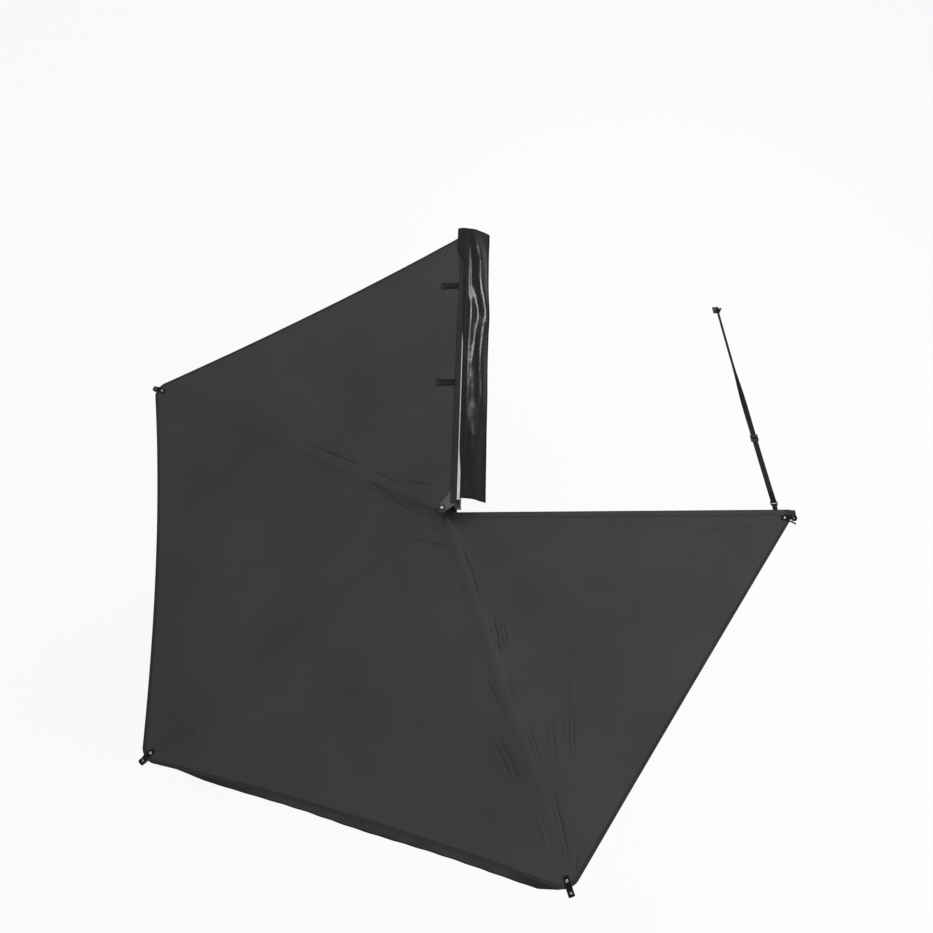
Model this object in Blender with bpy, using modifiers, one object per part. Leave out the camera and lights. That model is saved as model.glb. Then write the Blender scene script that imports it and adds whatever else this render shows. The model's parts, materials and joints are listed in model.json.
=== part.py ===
"""Vehicle side awning, free standing, swung open through about 270 degrees.

A back plate on the vehicle's side carries a hub at its rear end. Four channel rafters turn on the
hub's pin, one above the other, and fan out to hold a tensioned canopy. Each rafter stows a
telescopic leg. A tie strap runs from the last rafter to the vehicle's far side.

Metres, +Z up. +X points to the vehicle, +Y along the back plate to the vehicle's front.
The origin is the centre of the middle mounting bracket's foot, on its underside.
"""

import math

import bmesh
import bpy
from mathutils import Matrix, Vector
from mathutils.bvhtree import BVHTree

# Clearances
FIT = 0.0003
SLACK = 0.0006
LAYER_GAP = 0.0005

# How far a cutter runs past what it cuts, and the rounded edge of moulded pieces
CUT_PAST = 0.010
CAST_EDGE = 0.0015

# Back plate, an open extrusion with two bolt channels at the back
PLATE_LENGTH = 2.400
PLATE_HEIGHT = 0.176
PLATE_DEPTH = 0.025
PLATE_WALL = 0.0025
PLATE_LIP_HEIGHT = 0.009
BOLT_CHANNEL_OFFSET = 0.036
BOLT_CHANNEL_WIDTH = 0.018
BOLT_MOUTH = 0.009
BOLT_LIP = 0.003
CAP_THICKNESS = 0.006
CAP_OVERHANG = 0.002
CAP_SPIGOT = 0.012

# Mounting brackets
BRACKET_WIDTH = 0.080
BRACKET_FOOT = 0.110
BRACKET_LEG = 0.104
BRACKET_STOCK = 0.005
BRACKET_END_INSET = 0.320
BRACKET_SLOT_LENGTH = 0.036
BRACKET_SLOT_WIDTH = 0.009
BRACKET_SLOT_SPREAD = 0.042
BRACKET_SLOT_INSET = 0.010
GUSSET_THICKNESS = 0.004
GUSSET_REACH = 0.055
GUSSET_RISE = 0.083
PLATE_DROP = 0.032

# Hub
PIN_STANDOFF = 0.095
HUB_REAR_SETBACK = 0.062
PIN_RADIUS = 0.006
PIN_HEAD_RADIUS = 0.011
PIN_HEAD_HEIGHT = 0.008
PIN_TAIL = 0.013
NUT_RADIUS = 0.0115
NUT_HEIGHT = 0.010
BARREL_RADIUS = 0.021
LAYER_PITCH = 0.040
HUB_PLATE = 0.006
HUB_PLATE_DROP = 0.0015
HUB_NOSE_RADIUS = 0.030
HUB_FLANGE_START = 0.030
HUB_FLANGE_END = 0.150
HUB_GUSSET_WIDTH = 0.025

# Rafters
RAFTER_STEP = 66.5
LAST_SWING = 271.0
RAFTER_COUNT = 4
RAIL_WIDTH = 0.038
RAIL_HEIGHT = 0.034
RAIL_WALL = 0.002
RAIL_BEAD = 0.003
RAIL_BEAD_HEIGHT = 0.004
RAIL_CHAMFER = 0.0012
KEDER_RADIUS = 0.0026
KEDER_MOUTH = 0.0018
KEDER_INSET = 0.0043
KEDER_BLOCK = 0.0086
RAIL_START = 0.050
RAIL_END = 2.360
KNUCKLE_TONGUE = 0.090
KNUCKLE_ROOT = 0.010
KNUCKLE_WALL = 0.004
KNUCKLE_FLOOR = 0.006

# Rafter tips; places along them are measured from the rail's end
LEG_PIVOT_PAST_RAIL = 0.025
TIP_SHOULDER_PAST_RAIL = 0.0365
TIP_NOSE_PAST_RAIL = 0.046
TIP_LENGTH = 0.078
TIP_NOSE_DROP = 0.011
TIP_NOSE_CHAMFER = 0.006
TIP_TOE_CHAMFER = 0.010
TIP_BRIDGE = 0.0052
TIP_FORK_END = 0.042
TIP_PRONG = 0.060
TIP_PRONG_HEIGHT = 0.021
TIP_PRONG_ROOT = 0.004
TIP_EAR_BASE = 0.008
TIP_EAR_ROOT = 0.006
PEG_PAST_RAIL = 0.056
PEG_RADIUS = 0.0034
PEG_HEIGHT = 0.0085
PEG_HEAD_RADIUS = 0.0056
PEG_HEAD_HEIGHT = 0.0022

# Telescopic legs
LEG_RADIUS = 0.011
LEG_WALL = 0.0014
LEG_LENGTH = 1.200
LEG_AXIS_HEIGHT = 0.0138
LEG_EYE_RADIUS = 0.009
LEG_EYE_REACH = 0.013
LEG_PIN_RADIUS = 0.003
LEG_PLUG = 0.012
LEG_INNER_WALL = 0.0015
LEG_INNER_SHOW = 0.046
LEG_INNER_TOP = 0.060
LEG_INNER_FLOOR = 0.010
COLLAR_RADIUS = 0.0135
COLLAR_LENGTH = 0.058
COLLAR_OVERLAP = 0.040
COLLAR_RIBS = 12
COLLAR_RIB_DEPTH = 0.0009
FOOT_RADIUS = 0.0132
FOOT_LENGTH = 0.038
FOOT_CUP = 0.026
FOOT_SOLE = 0.0022

# Canopy
CANOPY_PAST_RAIL = 0.035
CANOPY_FRONT_INSET = 0.064
CANOPY_THICKNESS = 0.0014
CANOPY_INNER_RADIUS = 0.078
CANOPY_PLATE_START = 0.182
CANOPY_EDGE_BOW = 0.032
CANOPY_SAG = 0.016
CANOPY_CREASE = 0.006
HEM_WIDTH = 0.033
RAIL_REST = 0.0245
LAST_RAIL_REST = 0.004
REST_SHARE = 0.35
CREASE_VALLEY = 0.060
PANEL_COLUMNS = 16
PANEL_ROWS = 10

# Front flap between the second and the third rafter
FLAP_START = 0.075
FLAP_END = 0.930
FLAP_WIDTH = 0.115
FLAP_LEAN = 52.0
FLAP_INSET = 0.012
FLAP_COLUMNS = 24

# Tension tabs, on the canopy's corners; the last one lies beside its rail
TAB_WIDTH = 0.038
TAB_THICKNESS = 0.0014
TAB_BEFORE_RAIL_END = 0.075
TAB_PAST_RAIL = 0.071
TAB_FLAT_STEPS = 3
TAB_LIFT = 0.001
TAB_SIDE_GAP = 0.0015
TAB_EYELET_BEFORE_RAIL_END = 0.008
EYELET_RADIUS = 0.0046

# Storage straps
STORAGE_STRAP_WIDTH = 0.050
STORAGE_STRAP_THICKNESS = 0.0016
STORAGE_STRAP_START = 0.084
STORAGE_STRAP_REACH = 0.046
STORAGE_STRAP_STEPS = 8
STORAGE_STRAP_PROBE = 0.012
STORAGE_STRAP_PLACES = (1.007, 1.902)
STORAGE_BUCKLE_LENGTH = 0.030
STORAGE_BUCKLE_WIDTH = 0.058
STORAGE_BUCKLE_HEIGHT = 0.007
STORAGE_BUCKLE_WALL = 0.006

# Transit cover, opened and thrown back over the plate
COVER_THICKNESS = 0.0012
COVER_REACH = 0.170
COVER_DROP = 0.085
COVER_END_OVERHANG = 0.035
COVER_FOLD_DEPTH = 0.011
COVER_FOLDS = 7
COVER_REAR_INSET = 0.010
COVER_BEND = 0.006
COVER_SEAT_DROP = 0.008
COVER_LIFT_START = 1.200
COVER_LIFT_RUN = 0.150
COVER_LAP = 0.028
COVER_END_LENGTH = 0.342
COVER_END_RUN = 0.160
COVER_END_LAP = 0.055
COVER_COLUMNS = 9
COVER_ROWS = 40

# Tie strap
TIE_PIVOT_SETBACK = 0.058
TIE_PIVOT_OFFSET = 0.045
TIE_HEADING = 6.26
TIE_STRAP_WIDTH = 0.038
TIE_STRAP_THICKNESS = 0.0024
TIE_LENGTH = 1.694
TIE_SAG = 0.012
TIE_END_DROP = 0.022
TIE_BUCKLE_PLACE = 0.547
TIE_BUCKLE_LENGTH = 0.052
TIE_BUCKLE_WIDTH = 0.052
TIE_BUCKLE_HEIGHT = 0.014
TIE_BUCKLE_WINDOW = 0.016
TIE_BUCKLE_BAR = 0.004
TIE_TWIST_START = 0.150
TIE_TWIST_END = 0.050
TIE_LINK_LENGTH = 0.050
TIE_LINK_WIDTH = 0.050
TIE_LINK_THICKNESS = 0.004
TIE_LINK_SHOULDER = 0.020
TIE_LINK_SLOT = 0.008
TIE_LINK_BAR = 0.006
TIE_EYE_WALL = 0.009
TIE_PIN_RADIUS = 0.004
TIE_PIN_HEAD = 0.0075
TIE_LUG_STOCK = 0.003
TIE_LUG_LENGTH = 0.034
TIE_LUG_BASE = 0.004
TIE_LUG_EDGE = 0.004
TIE_LUG_SHELF = 0.0204
TIE_PIN_HEAD_HEIGHT = 0.003
TIE_BRACKET_HEIGHT = 0.060
TIE_BRACKET_FOOT = 0.060
TIE_BRACKET_WIDTH = 0.050
TIE_BRACKET_STOCK = 0.004
TIE_SLOT_WIDTH = 0.006
TIE_SLOT_INSET = 0.010
TIE_HOLE_RADIUS = 0.0033
TIE_HOLE_SPREAD = 0.028
TIE_HOLE_INSET = 0.018

# Places worked out from the sizes above
PLATE_BACK_X = -(BRACKET_FOOT / 2 + FIT)
PLATE_FRONT_X = PLATE_BACK_X - PLATE_DEPTH
PLATE_BOTTOM_Z = -PLATE_DROP
PLATE_TOP_Z = PLATE_BOTTOM_Z + PLATE_HEIGHT
HUB_X = PLATE_FRONT_X - PIN_STANDOFF
HUB_Y = -PLATE_LENGTH / 2 - HUB_REAR_SETBACK
HUB_TOP_Z = PLATE_TOP_Z - HUB_PLATE_DROP
BARREL_HEIGHT = LAYER_PITCH - LAYER_GAP
FIRST_BARREL_TOP = HUB_TOP_Z - HUB_PLATE - LAYER_GAP
HUB_LOWER_TOP_Z = FIRST_BARREL_TOP - RAFTER_COUNT * LAYER_PITCH
HUB_BOTTOM_Z = HUB_LOWER_TOP_Z - HUB_PLATE
RAIL_SEAT = (BARREL_HEIGHT - RAIL_HEIGHT) / 2
BRACKET_SPACING = PLATE_LENGTH / 2 - BRACKET_END_INSET
LEG_PIVOT = RAIL_END + LEG_PIVOT_PAST_RAIL
TIP_SHOULDER = RAIL_END + TIP_SHOULDER_PAST_RAIL
TIP_NOSE_START = RAIL_END + TIP_NOSE_PAST_RAIL
TIP_END = RAIL_END + TIP_LENGTH
TIP_NOSE_TOP = RAIL_HEIGHT - TIP_NOSE_DROP
PEG_PLACE = RAIL_END + PEG_PAST_RAIL
TAB_START = RAIL_END - TAB_BEFORE_RAIL_END
TAB_END = RAIL_END + TAB_PAST_RAIL
TAB_INNER_EYELET = RAIL_END - TAB_EYELET_BEFORE_RAIL_END
SIDE_TAB_OFFSET = RAIL_WIDTH / 2 + TAB_SIDE_GAP + TAB_WIDTH / 2
CANOPY_RADIUS = RAIL_END + CANOPY_PAST_RAIL
CANOPY_FRONT_CORNER = HUB_REAR_SETBACK + PLATE_LENGTH - CANOPY_FRONT_INSET
CANOPY_LAST_EDGE = RAIL_HEIGHT - KEDER_INSET - CANOPY_THICKNESS / 2
COVER_END_START = HUB_REAR_SETBACK + PLATE_LENGTH - COVER_END_LENGTH
TIE_PIVOT_REACH = RAIL_END - TIE_PIVOT_SETBACK
TIE_STRAP_START = TIE_LINK_LENGTH - TIE_PIN_RADIUS - TIE_EYE_WALL + FIT
LEG_BORE = LEG_RADIUS - LEG_WALL
LEG_INNER_RADIUS = LEG_BORE - FIT
SWING_ANGLES = [RAFTER_STEP * (n + 1) for n in range(RAFTER_COUNT - 1)] + [LAST_SWING]


def rail_base(n):
    """The height of rafter n's open underside, with n from 0 at the top."""
    return FIRST_BARREL_TOP - n * LAYER_PITCH - BARREL_HEIGHT + RAIL_SEAT


def clear_scene():
    for obj in list(bpy.data.objects):
        bpy.data.objects.remove(obj, do_unlink=True)


def make_collections():
    parts = bpy.data.collections.new("vehicle_side_awning")
    guides = bpy.data.collections.new("guides")
    for collection in (parts, guides):
        bpy.context.scene.collection.children.link(collection)
    return parts, guides


def make_material(name, colour, roughness, metallic):
    material = bpy.data.materials.new(name)
    material.use_nodes = True
    shader = material.node_tree.nodes["Principled BSDF"]
    shader.inputs["Base Color"].default_value = (*colour, 1.0)
    shader.inputs["Roughness"].default_value = roughness
    shader.inputs["Metallic"].default_value = metallic
    material.diffuse_color = (*colour, 1.0)
    return material


def make_materials():
    return {
        "mill_aluminium": make_material("mill_aluminium", (0.56, 0.57, 0.58), 0.35, 1.0),
        "grey_coated_aluminium": make_material("grey_coated_aluminium", (0.045, 0.046, 0.045), 0.45, 0.6),
        "zinc_steel": make_material("zinc_steel", (0.40, 0.40, 0.39), 0.38, 1.0),
        "black_nylon": make_material("black_nylon", (0.012, 0.012, 0.013), 0.50, 0.0),
        "black_rubber": make_material("black_rubber", (0.010, 0.010, 0.010), 0.80, 0.0),
        "charcoal_canvas": make_material("charcoal_canvas", (0.042, 0.042, 0.040), 0.75, 0.0),
        "black_webbing": make_material("black_webbing", (0.013, 0.013, 0.014), 0.80, 0.0),
        "black_pvc": make_material("black_pvc", (0.006, 0.006, 0.007), 0.18, 0.0),
    }


def new_object(mesh, name="shape"):
    obj = bpy.data.objects.new(name, mesh)
    bpy.context.scene.collection.objects.link(obj)
    return obj


def evaluated_mesh(obj):
    """The mesh of an object with its modifiers, as a mesh of its own; the object goes."""
    depsgraph = bpy.context.evaluated_depsgraph_get()
    mesh = bpy.data.meshes.new_from_object(obj.evaluated_get(depsgraph))
    bpy.data.objects.remove(obj, do_unlink=True)
    return mesh


def weld(mesh, distance=0.00001):
    work = bmesh.new()
    work.from_mesh(mesh)
    bmesh.ops.remove_doubles(work, verts=work.verts, dist=distance)
    bmesh.ops.recalc_face_normals(work, faces=work.faces)
    work.to_mesh(mesh)
    work.free()
    return mesh


def box(low, high):
    """A block between two corners."""
    work = bmesh.new()
    bmesh.ops.create_cube(work, size=1.0)
    low, high = Vector(low), Vector(high)
    for vert in work.verts:
        share = vert.co + Vector((0.5, 0.5, 0.5))
        vert.co = Vector(low[i] + share[i] * (high[i] - low[i]) for i in range(3))
    mesh = bpy.data.meshes.new("box")
    work.to_mesh(mesh)
    work.free()
    return mesh


def rod(radius, start, end, sides=24, end_radius=None):
    """A round bar, or a cone, from one point to another."""
    start, end = Vector(start), Vector(end)
    work = bmesh.new()
    bmesh.ops.create_cone(
        work,
        cap_ends=True,
        segments=sides,
        radius1=radius,
        radius2=radius if end_radius is None else end_radius,
        depth=(end - start).length,
    )
    turn = Vector((0, 0, 1)).rotation_difference(end - start).to_matrix().to_4x4()
    turn = turn @ Matrix.Rotation(math.pi / sides, 4, "Z")
    bmesh.ops.transform(work, matrix=Matrix.Translation((start + end) / 2) @ turn, verts=work.verts)
    mesh = bpy.data.meshes.new("rod")
    work.to_mesh(mesh)
    work.free()
    return mesh


def extruded(loop, low, high, axis):
    """A flat outline given a thickness along X, Y or Z.

    The outline's two coordinates are Y and Z along X, X and Z along Y, and X and Y along Z."""
    curve = bpy.data.curves.new("outline", "CURVE")
    curve.dimensions = "2D"
    curve.fill_mode = "BOTH"
    curve.extrude = (high - low) / 2
    spline = curve.splines.new("POLY")
    spline.points.add(len(loop) - 1)
    for point, (a, b) in zip(spline.points, loop):
        point.co = (a, b, 0.0, 1.0)
    spline.use_cyclic_u = True
    mesh = weld(evaluated_mesh(new_object(curve)))
    work = bmesh.new()
    work.from_mesh(mesh)
    bmesh.ops.dissolve_limit(work, angle_limit=math.radians(0.5), verts=work.verts, edges=work.edges)
    work.to_mesh(mesh)
    work.free()
    columns = {
        "X": ((0, 0, 1), (1, 0, 0), (0, 1, 0)),
        "Y": ((1, 0, 0), (0, 0, 1), (0, 1, 0)),
        "Z": ((1, 0, 0), (0, 1, 0), (0, 0, 1)),
    }[axis]
    turn = Matrix(columns).to_4x4()
    shift = Vector({"X": (1, 0, 0), "Y": (0, 1, 0), "Z": (0, 0, 1)}[axis]) * (low + high) / 2
    mesh.transform(Matrix.Translation(shift) @ turn)
    return weld(mesh)


def combined(base, steps):
    """A mesh with others joined to it or cut out of it, in turn."""
    body = new_object(base)
    others = []
    for operation, mesh in steps:
        other = new_object(mesh, "cutter")
        others.append(other)
        change = body.modifiers.new(operation.lower(), "BOOLEAN")
        change.operation = operation
        change.solver = "EXACT"
        change.object = other
    mesh = evaluated_mesh(body)
    for other in others:
        bpy.data.objects.remove(other, do_unlink=True)
    return weld(mesh)


def bevelled(mesh, width, segments=1, angle=35):
    body = new_object(mesh)
    bevel = body.modifiers.new("edges", "BEVEL")
    bevel.width = width
    bevel.segments = segments
    bevel.limit_method = "ANGLE"
    bevel.angle_limit = math.radians(angle)
    bevel.use_clamp_overlap = True
    return evaluated_mesh(body)


def turned(profile, steps=24):
    """A shape turned about Z from a profile of radii and heights that runs down its outer side."""
    mesh = bpy.data.meshes.new("profile")
    mesh.from_pydata(
        [(radius, 0.0, height) for radius, height in profile],
        [(n, n + 1) for n in range(len(profile) - 1)],
        [],
    )
    body = new_object(mesh)
    screw = body.modifiers.new("turn", "SCREW")
    screw.axis = "Z"
    screw.steps = steps
    screw.render_steps = steps
    screw.use_merge_vertices = True
    screw.merge_threshold = 0.00001
    return weld(evaluated_mesh(body))


def sheet(place, columns, rows, thickness, side=1.0):
    """A thin solid over place(u, v), with u and v from 0 to 1.

    It thickens to the side that u turned onto v points to, or to the other with a side of -1."""
    work = bmesh.new()
    bmesh.ops.create_grid(work, x_segments=columns, y_segments=rows, size=0.5)
    for vert in work.verts:
        vert.co = place(vert.co.x + 0.5, vert.co.y + 0.5)
    mesh = bpy.data.meshes.new("sheet")
    work.to_mesh(mesh)
    work.free()
    body = new_object(mesh)
    solid = body.modifiers.new("thickness", "SOLIDIFY")
    solid.thickness = thickness
    solid.offset = side
    return weld(evaluated_mesh(body))


def smooth(mesh, angle=35):
    mesh.shade_smooth()
    mesh.set_sharp_from_angle(angle=math.radians(angle))


class Awning:
    """Puts finished meshes into the scene under their names, colours and parents."""

    def __init__(self, parts, guides, materials):
        self.parts = parts
        self.guides = guides
        self.materials = materials

    def axis(self, name, location, turn=0.0, parent=None):
        """An empty on a joint's axis, turned about Z."""
        empty = bpy.data.objects.new(name, None)
        empty.empty_display_size = 0.05
        empty.hide_render = True
        self.guides.objects.link(empty)
        empty.location = location
        empty.rotation_euler = (0.0, 0.0, turn)
        empty.parent = parent
        return empty

    def place(self, name, mesh, material, parent=None, location=(0, 0, 0)):
        obj = bpy.data.objects.new(name, mesh)
        self.parts.objects.link(obj)
        mesh.name = name
        smooth(mesh)
        if not mesh.materials:
            mesh.materials.append(self.materials[material])
        obj.parent = parent
        obj.location = location
        return obj


# Back plate and what is fixed to it


def plate_outline():
    """Half of the section above its middle, then the same mirrored below, as X and Z."""
    front, back = PLATE_FRONT_X, PLATE_BACK_X
    skin = front + PLATE_WALL
    half = PLATE_HEIGHT / 2
    low = BOLT_CHANNEL_OFFSET - BOLT_CHANNEL_WIDTH / 2
    high = BOLT_CHANNEL_OFFSET + BOLT_CHANNEL_WIDTH / 2
    mouth_low = BOLT_CHANNEL_OFFSET - BOLT_MOUTH / 2
    mouth_high = BOLT_CHANNEL_OFFSET + BOLT_MOUTH / 2
    lip = back - BOLT_LIP
    upper = [
        (skin, low - PLATE_WALL),
        (back, low - PLATE_WALL),
        (back, mouth_low),
        (lip, mouth_low),
        (lip, low),
        (skin, low),
        (skin, high),
        (lip, high),
        (lip, mouth_high),
        (back, mouth_high),
        (back, high + PLATE_WALL),
        (skin, high + PLATE_WALL),
        (skin, half - PLATE_WALL),
        (back - PLATE_WALL, half - PLATE_WALL),
        (back - PLATE_WALL, half - PLATE_LIP_HEIGHT),
        (back, half - PLATE_LIP_HEIGHT),
        (back, half),
        (front, half),
    ]
    lower = [(x, -z) for x, z in reversed(upper)]
    middle = (PLATE_TOP_Z + PLATE_BOTTOM_Z) / 2
    return [(x, z + middle) for x, z in upper + lower]


def build_plate(awning):
    half = PLATE_LENGTH / 2
    awning.place("back_plate", extruded(plate_outline(), -half, half, "Y"), "mill_aluminium")
    for name, way in (("plate_cap_front", 1), ("plate_cap_rear", -1)):
        awning.place(name, plate_cap(way), "black_nylon")


def plate_cap(way):
    """A moulded end cap, with a spigot that enters the plate between its two bolt channels."""
    seat = way * (PLATE_LENGTH / 2 + FIT)
    outer = seat + way * CAP_THICKNESS
    corner_low = (PLATE_FRONT_X + CAP_OVERHANG / 4, min(seat, outer), PLATE_BOTTOM_Z - CAP_OVERHANG)
    corner_high = (PLATE_BACK_X + CAP_OVERHANG, max(seat, outer), PLATE_TOP_Z)
    cap = bevelled(box(corner_low, corner_high), CAST_EDGE)
    middle = (PLATE_TOP_Z + PLATE_BOTTOM_Z) / 2
    reach = BOLT_CHANNEL_OFFSET - BOLT_CHANNEL_WIDTH / 2 - PLATE_WALL - SLACK
    inner = seat - way * CAP_SPIGOT
    root = (seat + outer) / 2
    spigot_low = (PLATE_FRONT_X + PLATE_WALL + SLACK, min(inner, root), middle - reach)
    spigot_high = (PLATE_BACK_X - PLATE_WALL, max(inner, root), middle + reach)
    return combined(cap, [("UNION", box(spigot_low, spigot_high))])


def bracket_mesh():
    """An angle bracket with two end gussets and two slots in its foot, about its own origin."""
    heel = -BRACKET_FOOT / 2
    toe = BRACKET_FOOT / 2
    half = BRACKET_WIDTH / 2
    angle = [
        (heel, 0.0),
        (toe, 0.0),
        (toe, BRACKET_STOCK),
        (heel + BRACKET_STOCK, BRACKET_STOCK),
        (heel + BRACKET_STOCK, BRACKET_LEG),
        (heel, BRACKET_LEG),
    ]
    gusset = [
        (heel, 0.0),
        (heel + GUSSET_REACH, 0.0),
        (heel + GUSSET_REACH, BRACKET_STOCK),
        (heel + BRACKET_STOCK, GUSSET_RISE),
        (heel, GUSSET_RISE),
    ]
    steps = [
        ("UNION", extruded(gusset, -half, GUSSET_THICKNESS - half, "Y")),
        ("UNION", extruded(gusset, half - GUSSET_THICKNESS, half, "Y")),
    ]
    for way in (-1, 1):
        steps.append(("DIFFERENCE", foot_slot(way)))
    for height in (-BOLT_CHANNEL_OFFSET, BOLT_CHANNEL_OFFSET):
        steps.append(("DIFFERENCE", leg_hole(height)))
    return combined(extruded(angle, -half, half, "Y"), steps)


def foot_slot(way):
    """A slot along X through the foot, with round ends."""
    reach = (BRACKET_SLOT_LENGTH - BRACKET_SLOT_WIDTH) / 2
    radius = BRACKET_SLOT_WIDTH / 2
    middle_x = BRACKET_FOOT / 2 - BRACKET_SLOT_LENGTH / 2 - BRACKET_SLOT_INSET
    middle_y = way * BRACKET_SLOT_SPREAD / 2
    outline = []
    for end, first in ((1, -90), (-1, 90)):
        for n in range(7):
            angle = math.radians(first + 30 * n)
            outline.append(
                (middle_x + end * reach + radius * math.cos(angle), middle_y + radius * math.sin(angle))
            )
    return extruded(outline, -BRACKET_STOCK, 2 * BRACKET_STOCK, "Z")


def leg_hole(offset):
    """A bolt hole through the bracket's upright, at a bolt channel of the plate."""
    height = (PLATE_TOP_Z + PLATE_BOTTOM_Z) / 2 + offset
    heel = -BRACKET_FOOT / 2
    return rod(
        BRACKET_SLOT_WIDTH / 2,
        (heel - BRACKET_STOCK, 0, height),
        (heel + 2 * BRACKET_STOCK, 0, height),
        sides=16,
    )


def build_brackets(awning):
    mesh = bracket_mesh()
    for name, place in (("rear", -1), ("middle", 0), ("front", 1)):
        awning.place(f"mount_bracket_{name}", mesh, "zinc_steel", location=(0, place * BRACKET_SPACING, 0))


# Hub


def hub_plate_outline():
    """The hub bracket's top and bottom plates from above: a nose round the pin, gusseted to the flange."""
    flange = PIN_STANDOFF - FIT
    shoulder = flange - HUB_GUSSET_WIDTH
    nose = HUB_NOSE_RADIUS
    far = math.hypot(shoulder, HUB_FLANGE_END)
    first = math.degrees(math.atan2(HUB_FLANGE_END, shoulder) + math.acos(nose / far))
    far = math.hypot(flange, HUB_FLANGE_START)
    last = 360 + math.degrees(math.atan2(HUB_FLANGE_START, flange) - math.acos(nose / far))
    turns = 10
    arc = [math.radians(first + (last - first) * n / turns) for n in range(turns + 1)]
    return (
        [(flange, HUB_FLANGE_END), (shoulder, HUB_FLANGE_END)]
        + [(nose * math.cos(angle), nose * math.sin(angle)) for angle in arc]
        + [(flange, HUB_FLANGE_START)]
    )


def hub_bracket_mesh():
    outline = hub_plate_outline()
    flange_low = (PIN_STANDOFF - FIT - HUB_PLATE, HUB_FLANGE_START, HUB_BOTTOM_Z)
    flange_high = (PIN_STANDOFF - FIT, HUB_FLANGE_END, HUB_TOP_Z)
    top = extruded(outline, HUB_TOP_Z - HUB_PLATE, HUB_TOP_Z, "Z")
    bottom = extruded(outline, HUB_BOTTOM_Z, HUB_LOWER_TOP_Z, "Z")
    bore = rod(PIN_RADIUS + FIT, (0, 0, HUB_BOTTOM_Z - CUT_PAST), (0, 0, HUB_TOP_Z + CUT_PAST))
    return combined(
        top,
        [("UNION", box(flange_low, flange_high)), ("UNION", bottom), ("DIFFERENCE", bore)],
    )


def build_hub(awning, hub):
    awning.place("hub_bracket", hub_bracket_mesh(), "mill_aluminium", hub)
    head = rod(
        PIN_HEAD_RADIUS,
        (0, 0, HUB_TOP_Z + FIT),
        (0, 0, HUB_TOP_Z + FIT + PIN_HEAD_HEIGHT),
        sides=6,
    )
    shank = rod(PIN_RADIUS, (0, 0, HUB_BOTTOM_Z - PIN_TAIL), (0, 0, HUB_TOP_Z + FIT + PIN_HEAD_HEIGHT / 2))
    awning.place("pivot_bolt", combined(head, [("UNION", shank)]), "zinc_steel", hub)
    nut = rod(NUT_RADIUS, (0, 0, HUB_BOTTOM_Z - FIT - NUT_HEIGHT), (0, 0, HUB_BOTTOM_Z - FIT), sides=6)
    thread_end = HUB_BOTTOM_Z - 2 * PIN_TAIL
    thread = rod(PIN_RADIUS + FIT, (0, 0, thread_end), (0, 0, HUB_BOTTOM_Z + CUT_PAST))
    awning.place("pivot_nut", combined(nut, [("DIFFERENCE", thread)]), "zinc_steel", hub)


# Rafters, built along +Y from the pin, with the rail's open underside at Z = 0


def keder_side(side):
    """One side of the rail's section from its bottom edge to its top, with the keder groove in it."""
    face = RAIL_WIDTH / 2
    height = RAIL_HEIGHT - KEDER_INSET
    middle = face - KEDER_INSET
    opening = math.asin(KEDER_MOUTH / 2 / KEDER_RADIUS)
    turns = 7
    cavity = []
    for n in range(turns + 1):
        angle = -opening - (2 * math.pi - 2 * opening) * n / turns
        cavity.append((middle + KEDER_RADIUS * math.cos(angle), height + KEDER_RADIUS * math.sin(angle)))
    below = [(face, 0.0), (face, height - KEDER_MOUTH / 2)]
    above = [
        (face, height + KEDER_MOUTH / 2),
        (face, RAIL_HEIGHT - RAIL_CHAMFER),
        (face - RAIL_CHAMFER, RAIL_HEIGHT),
    ]
    points = below + cavity + above
    return points if side > 0 else [(-x, z) for x, z in reversed(points)]


def rail_outline():
    face = RAIL_WIDTH / 2
    wall = face - RAIL_WALL
    bead = face - RAIL_BEAD
    block = face - KEDER_BLOCK
    shelf = RAIL_HEIGHT - KEDER_BLOCK
    inside_left = [
        (-bead, 0.0),
        (-bead, RAIL_BEAD_HEIGHT),
        (-wall, RAIL_BEAD_HEIGHT),
        (-wall, shelf),
        (-block, shelf),
        (-block, RAIL_HEIGHT - RAIL_WALL),
    ]
    inside_right = [(-x, z) for x, z in reversed(inside_left)]
    return keder_side(1) + keder_side(-1) + inside_left + inside_right


def knuckle_mesh():
    """The barrel on the pin, and the tongue that plugs the rail's inner end."""
    base = -RAIL_SEAT
    barrel = rod(BARREL_RADIUS, (0, 0, base), (0, 0, base + BARREL_HEIGHT), sides=32)
    face = RAIL_WIDTH / 2
    neck = box((-face, BARREL_RADIUS / 2, 0.0), (face, RAIL_START - FIT, RAIL_HEIGHT))
    wide = face - RAIL_BEAD - FIT
    narrow = face - KEDER_BLOCK - FIT
    shelf = RAIL_HEIGHT - KEDER_BLOCK - FIT
    roof = RAIL_HEIGHT - RAIL_WALL - FIT
    tongue = [
        (wide, RAIL_WALL),
        (wide, shelf),
        (narrow, shelf),
        (narrow, roof),
        (-narrow, roof),
        (-narrow, shelf),
        (-wide, shelf),
        (-wide, RAIL_WALL),
    ]
    plug = extruded(tongue, RAIL_START - KNUCKLE_ROOT, RAIL_START + KNUCKLE_TONGUE, "Y")
    pocket = box(
        (KNUCKLE_WALL - wide, RAIL_START + KNUCKLE_FLOOR, -CUT_PAST),
        (wide - KNUCKLE_WALL, RAIL_START + KNUCKLE_TONGUE + CUT_PAST, shelf - KNUCKLE_WALL),
    )
    bore = rod(PIN_RADIUS + FIT, (0, 0, base - CUT_PAST), (0, 0, base + BARREL_HEIGHT + CUT_PAST))
    return combined(
        barrel,
        [("UNION", bevelled(neck, CAST_EDGE)), ("UNION", plug), ("DIFFERENCE", pocket), ("DIFFERENCE", bore)],
    )


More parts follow.
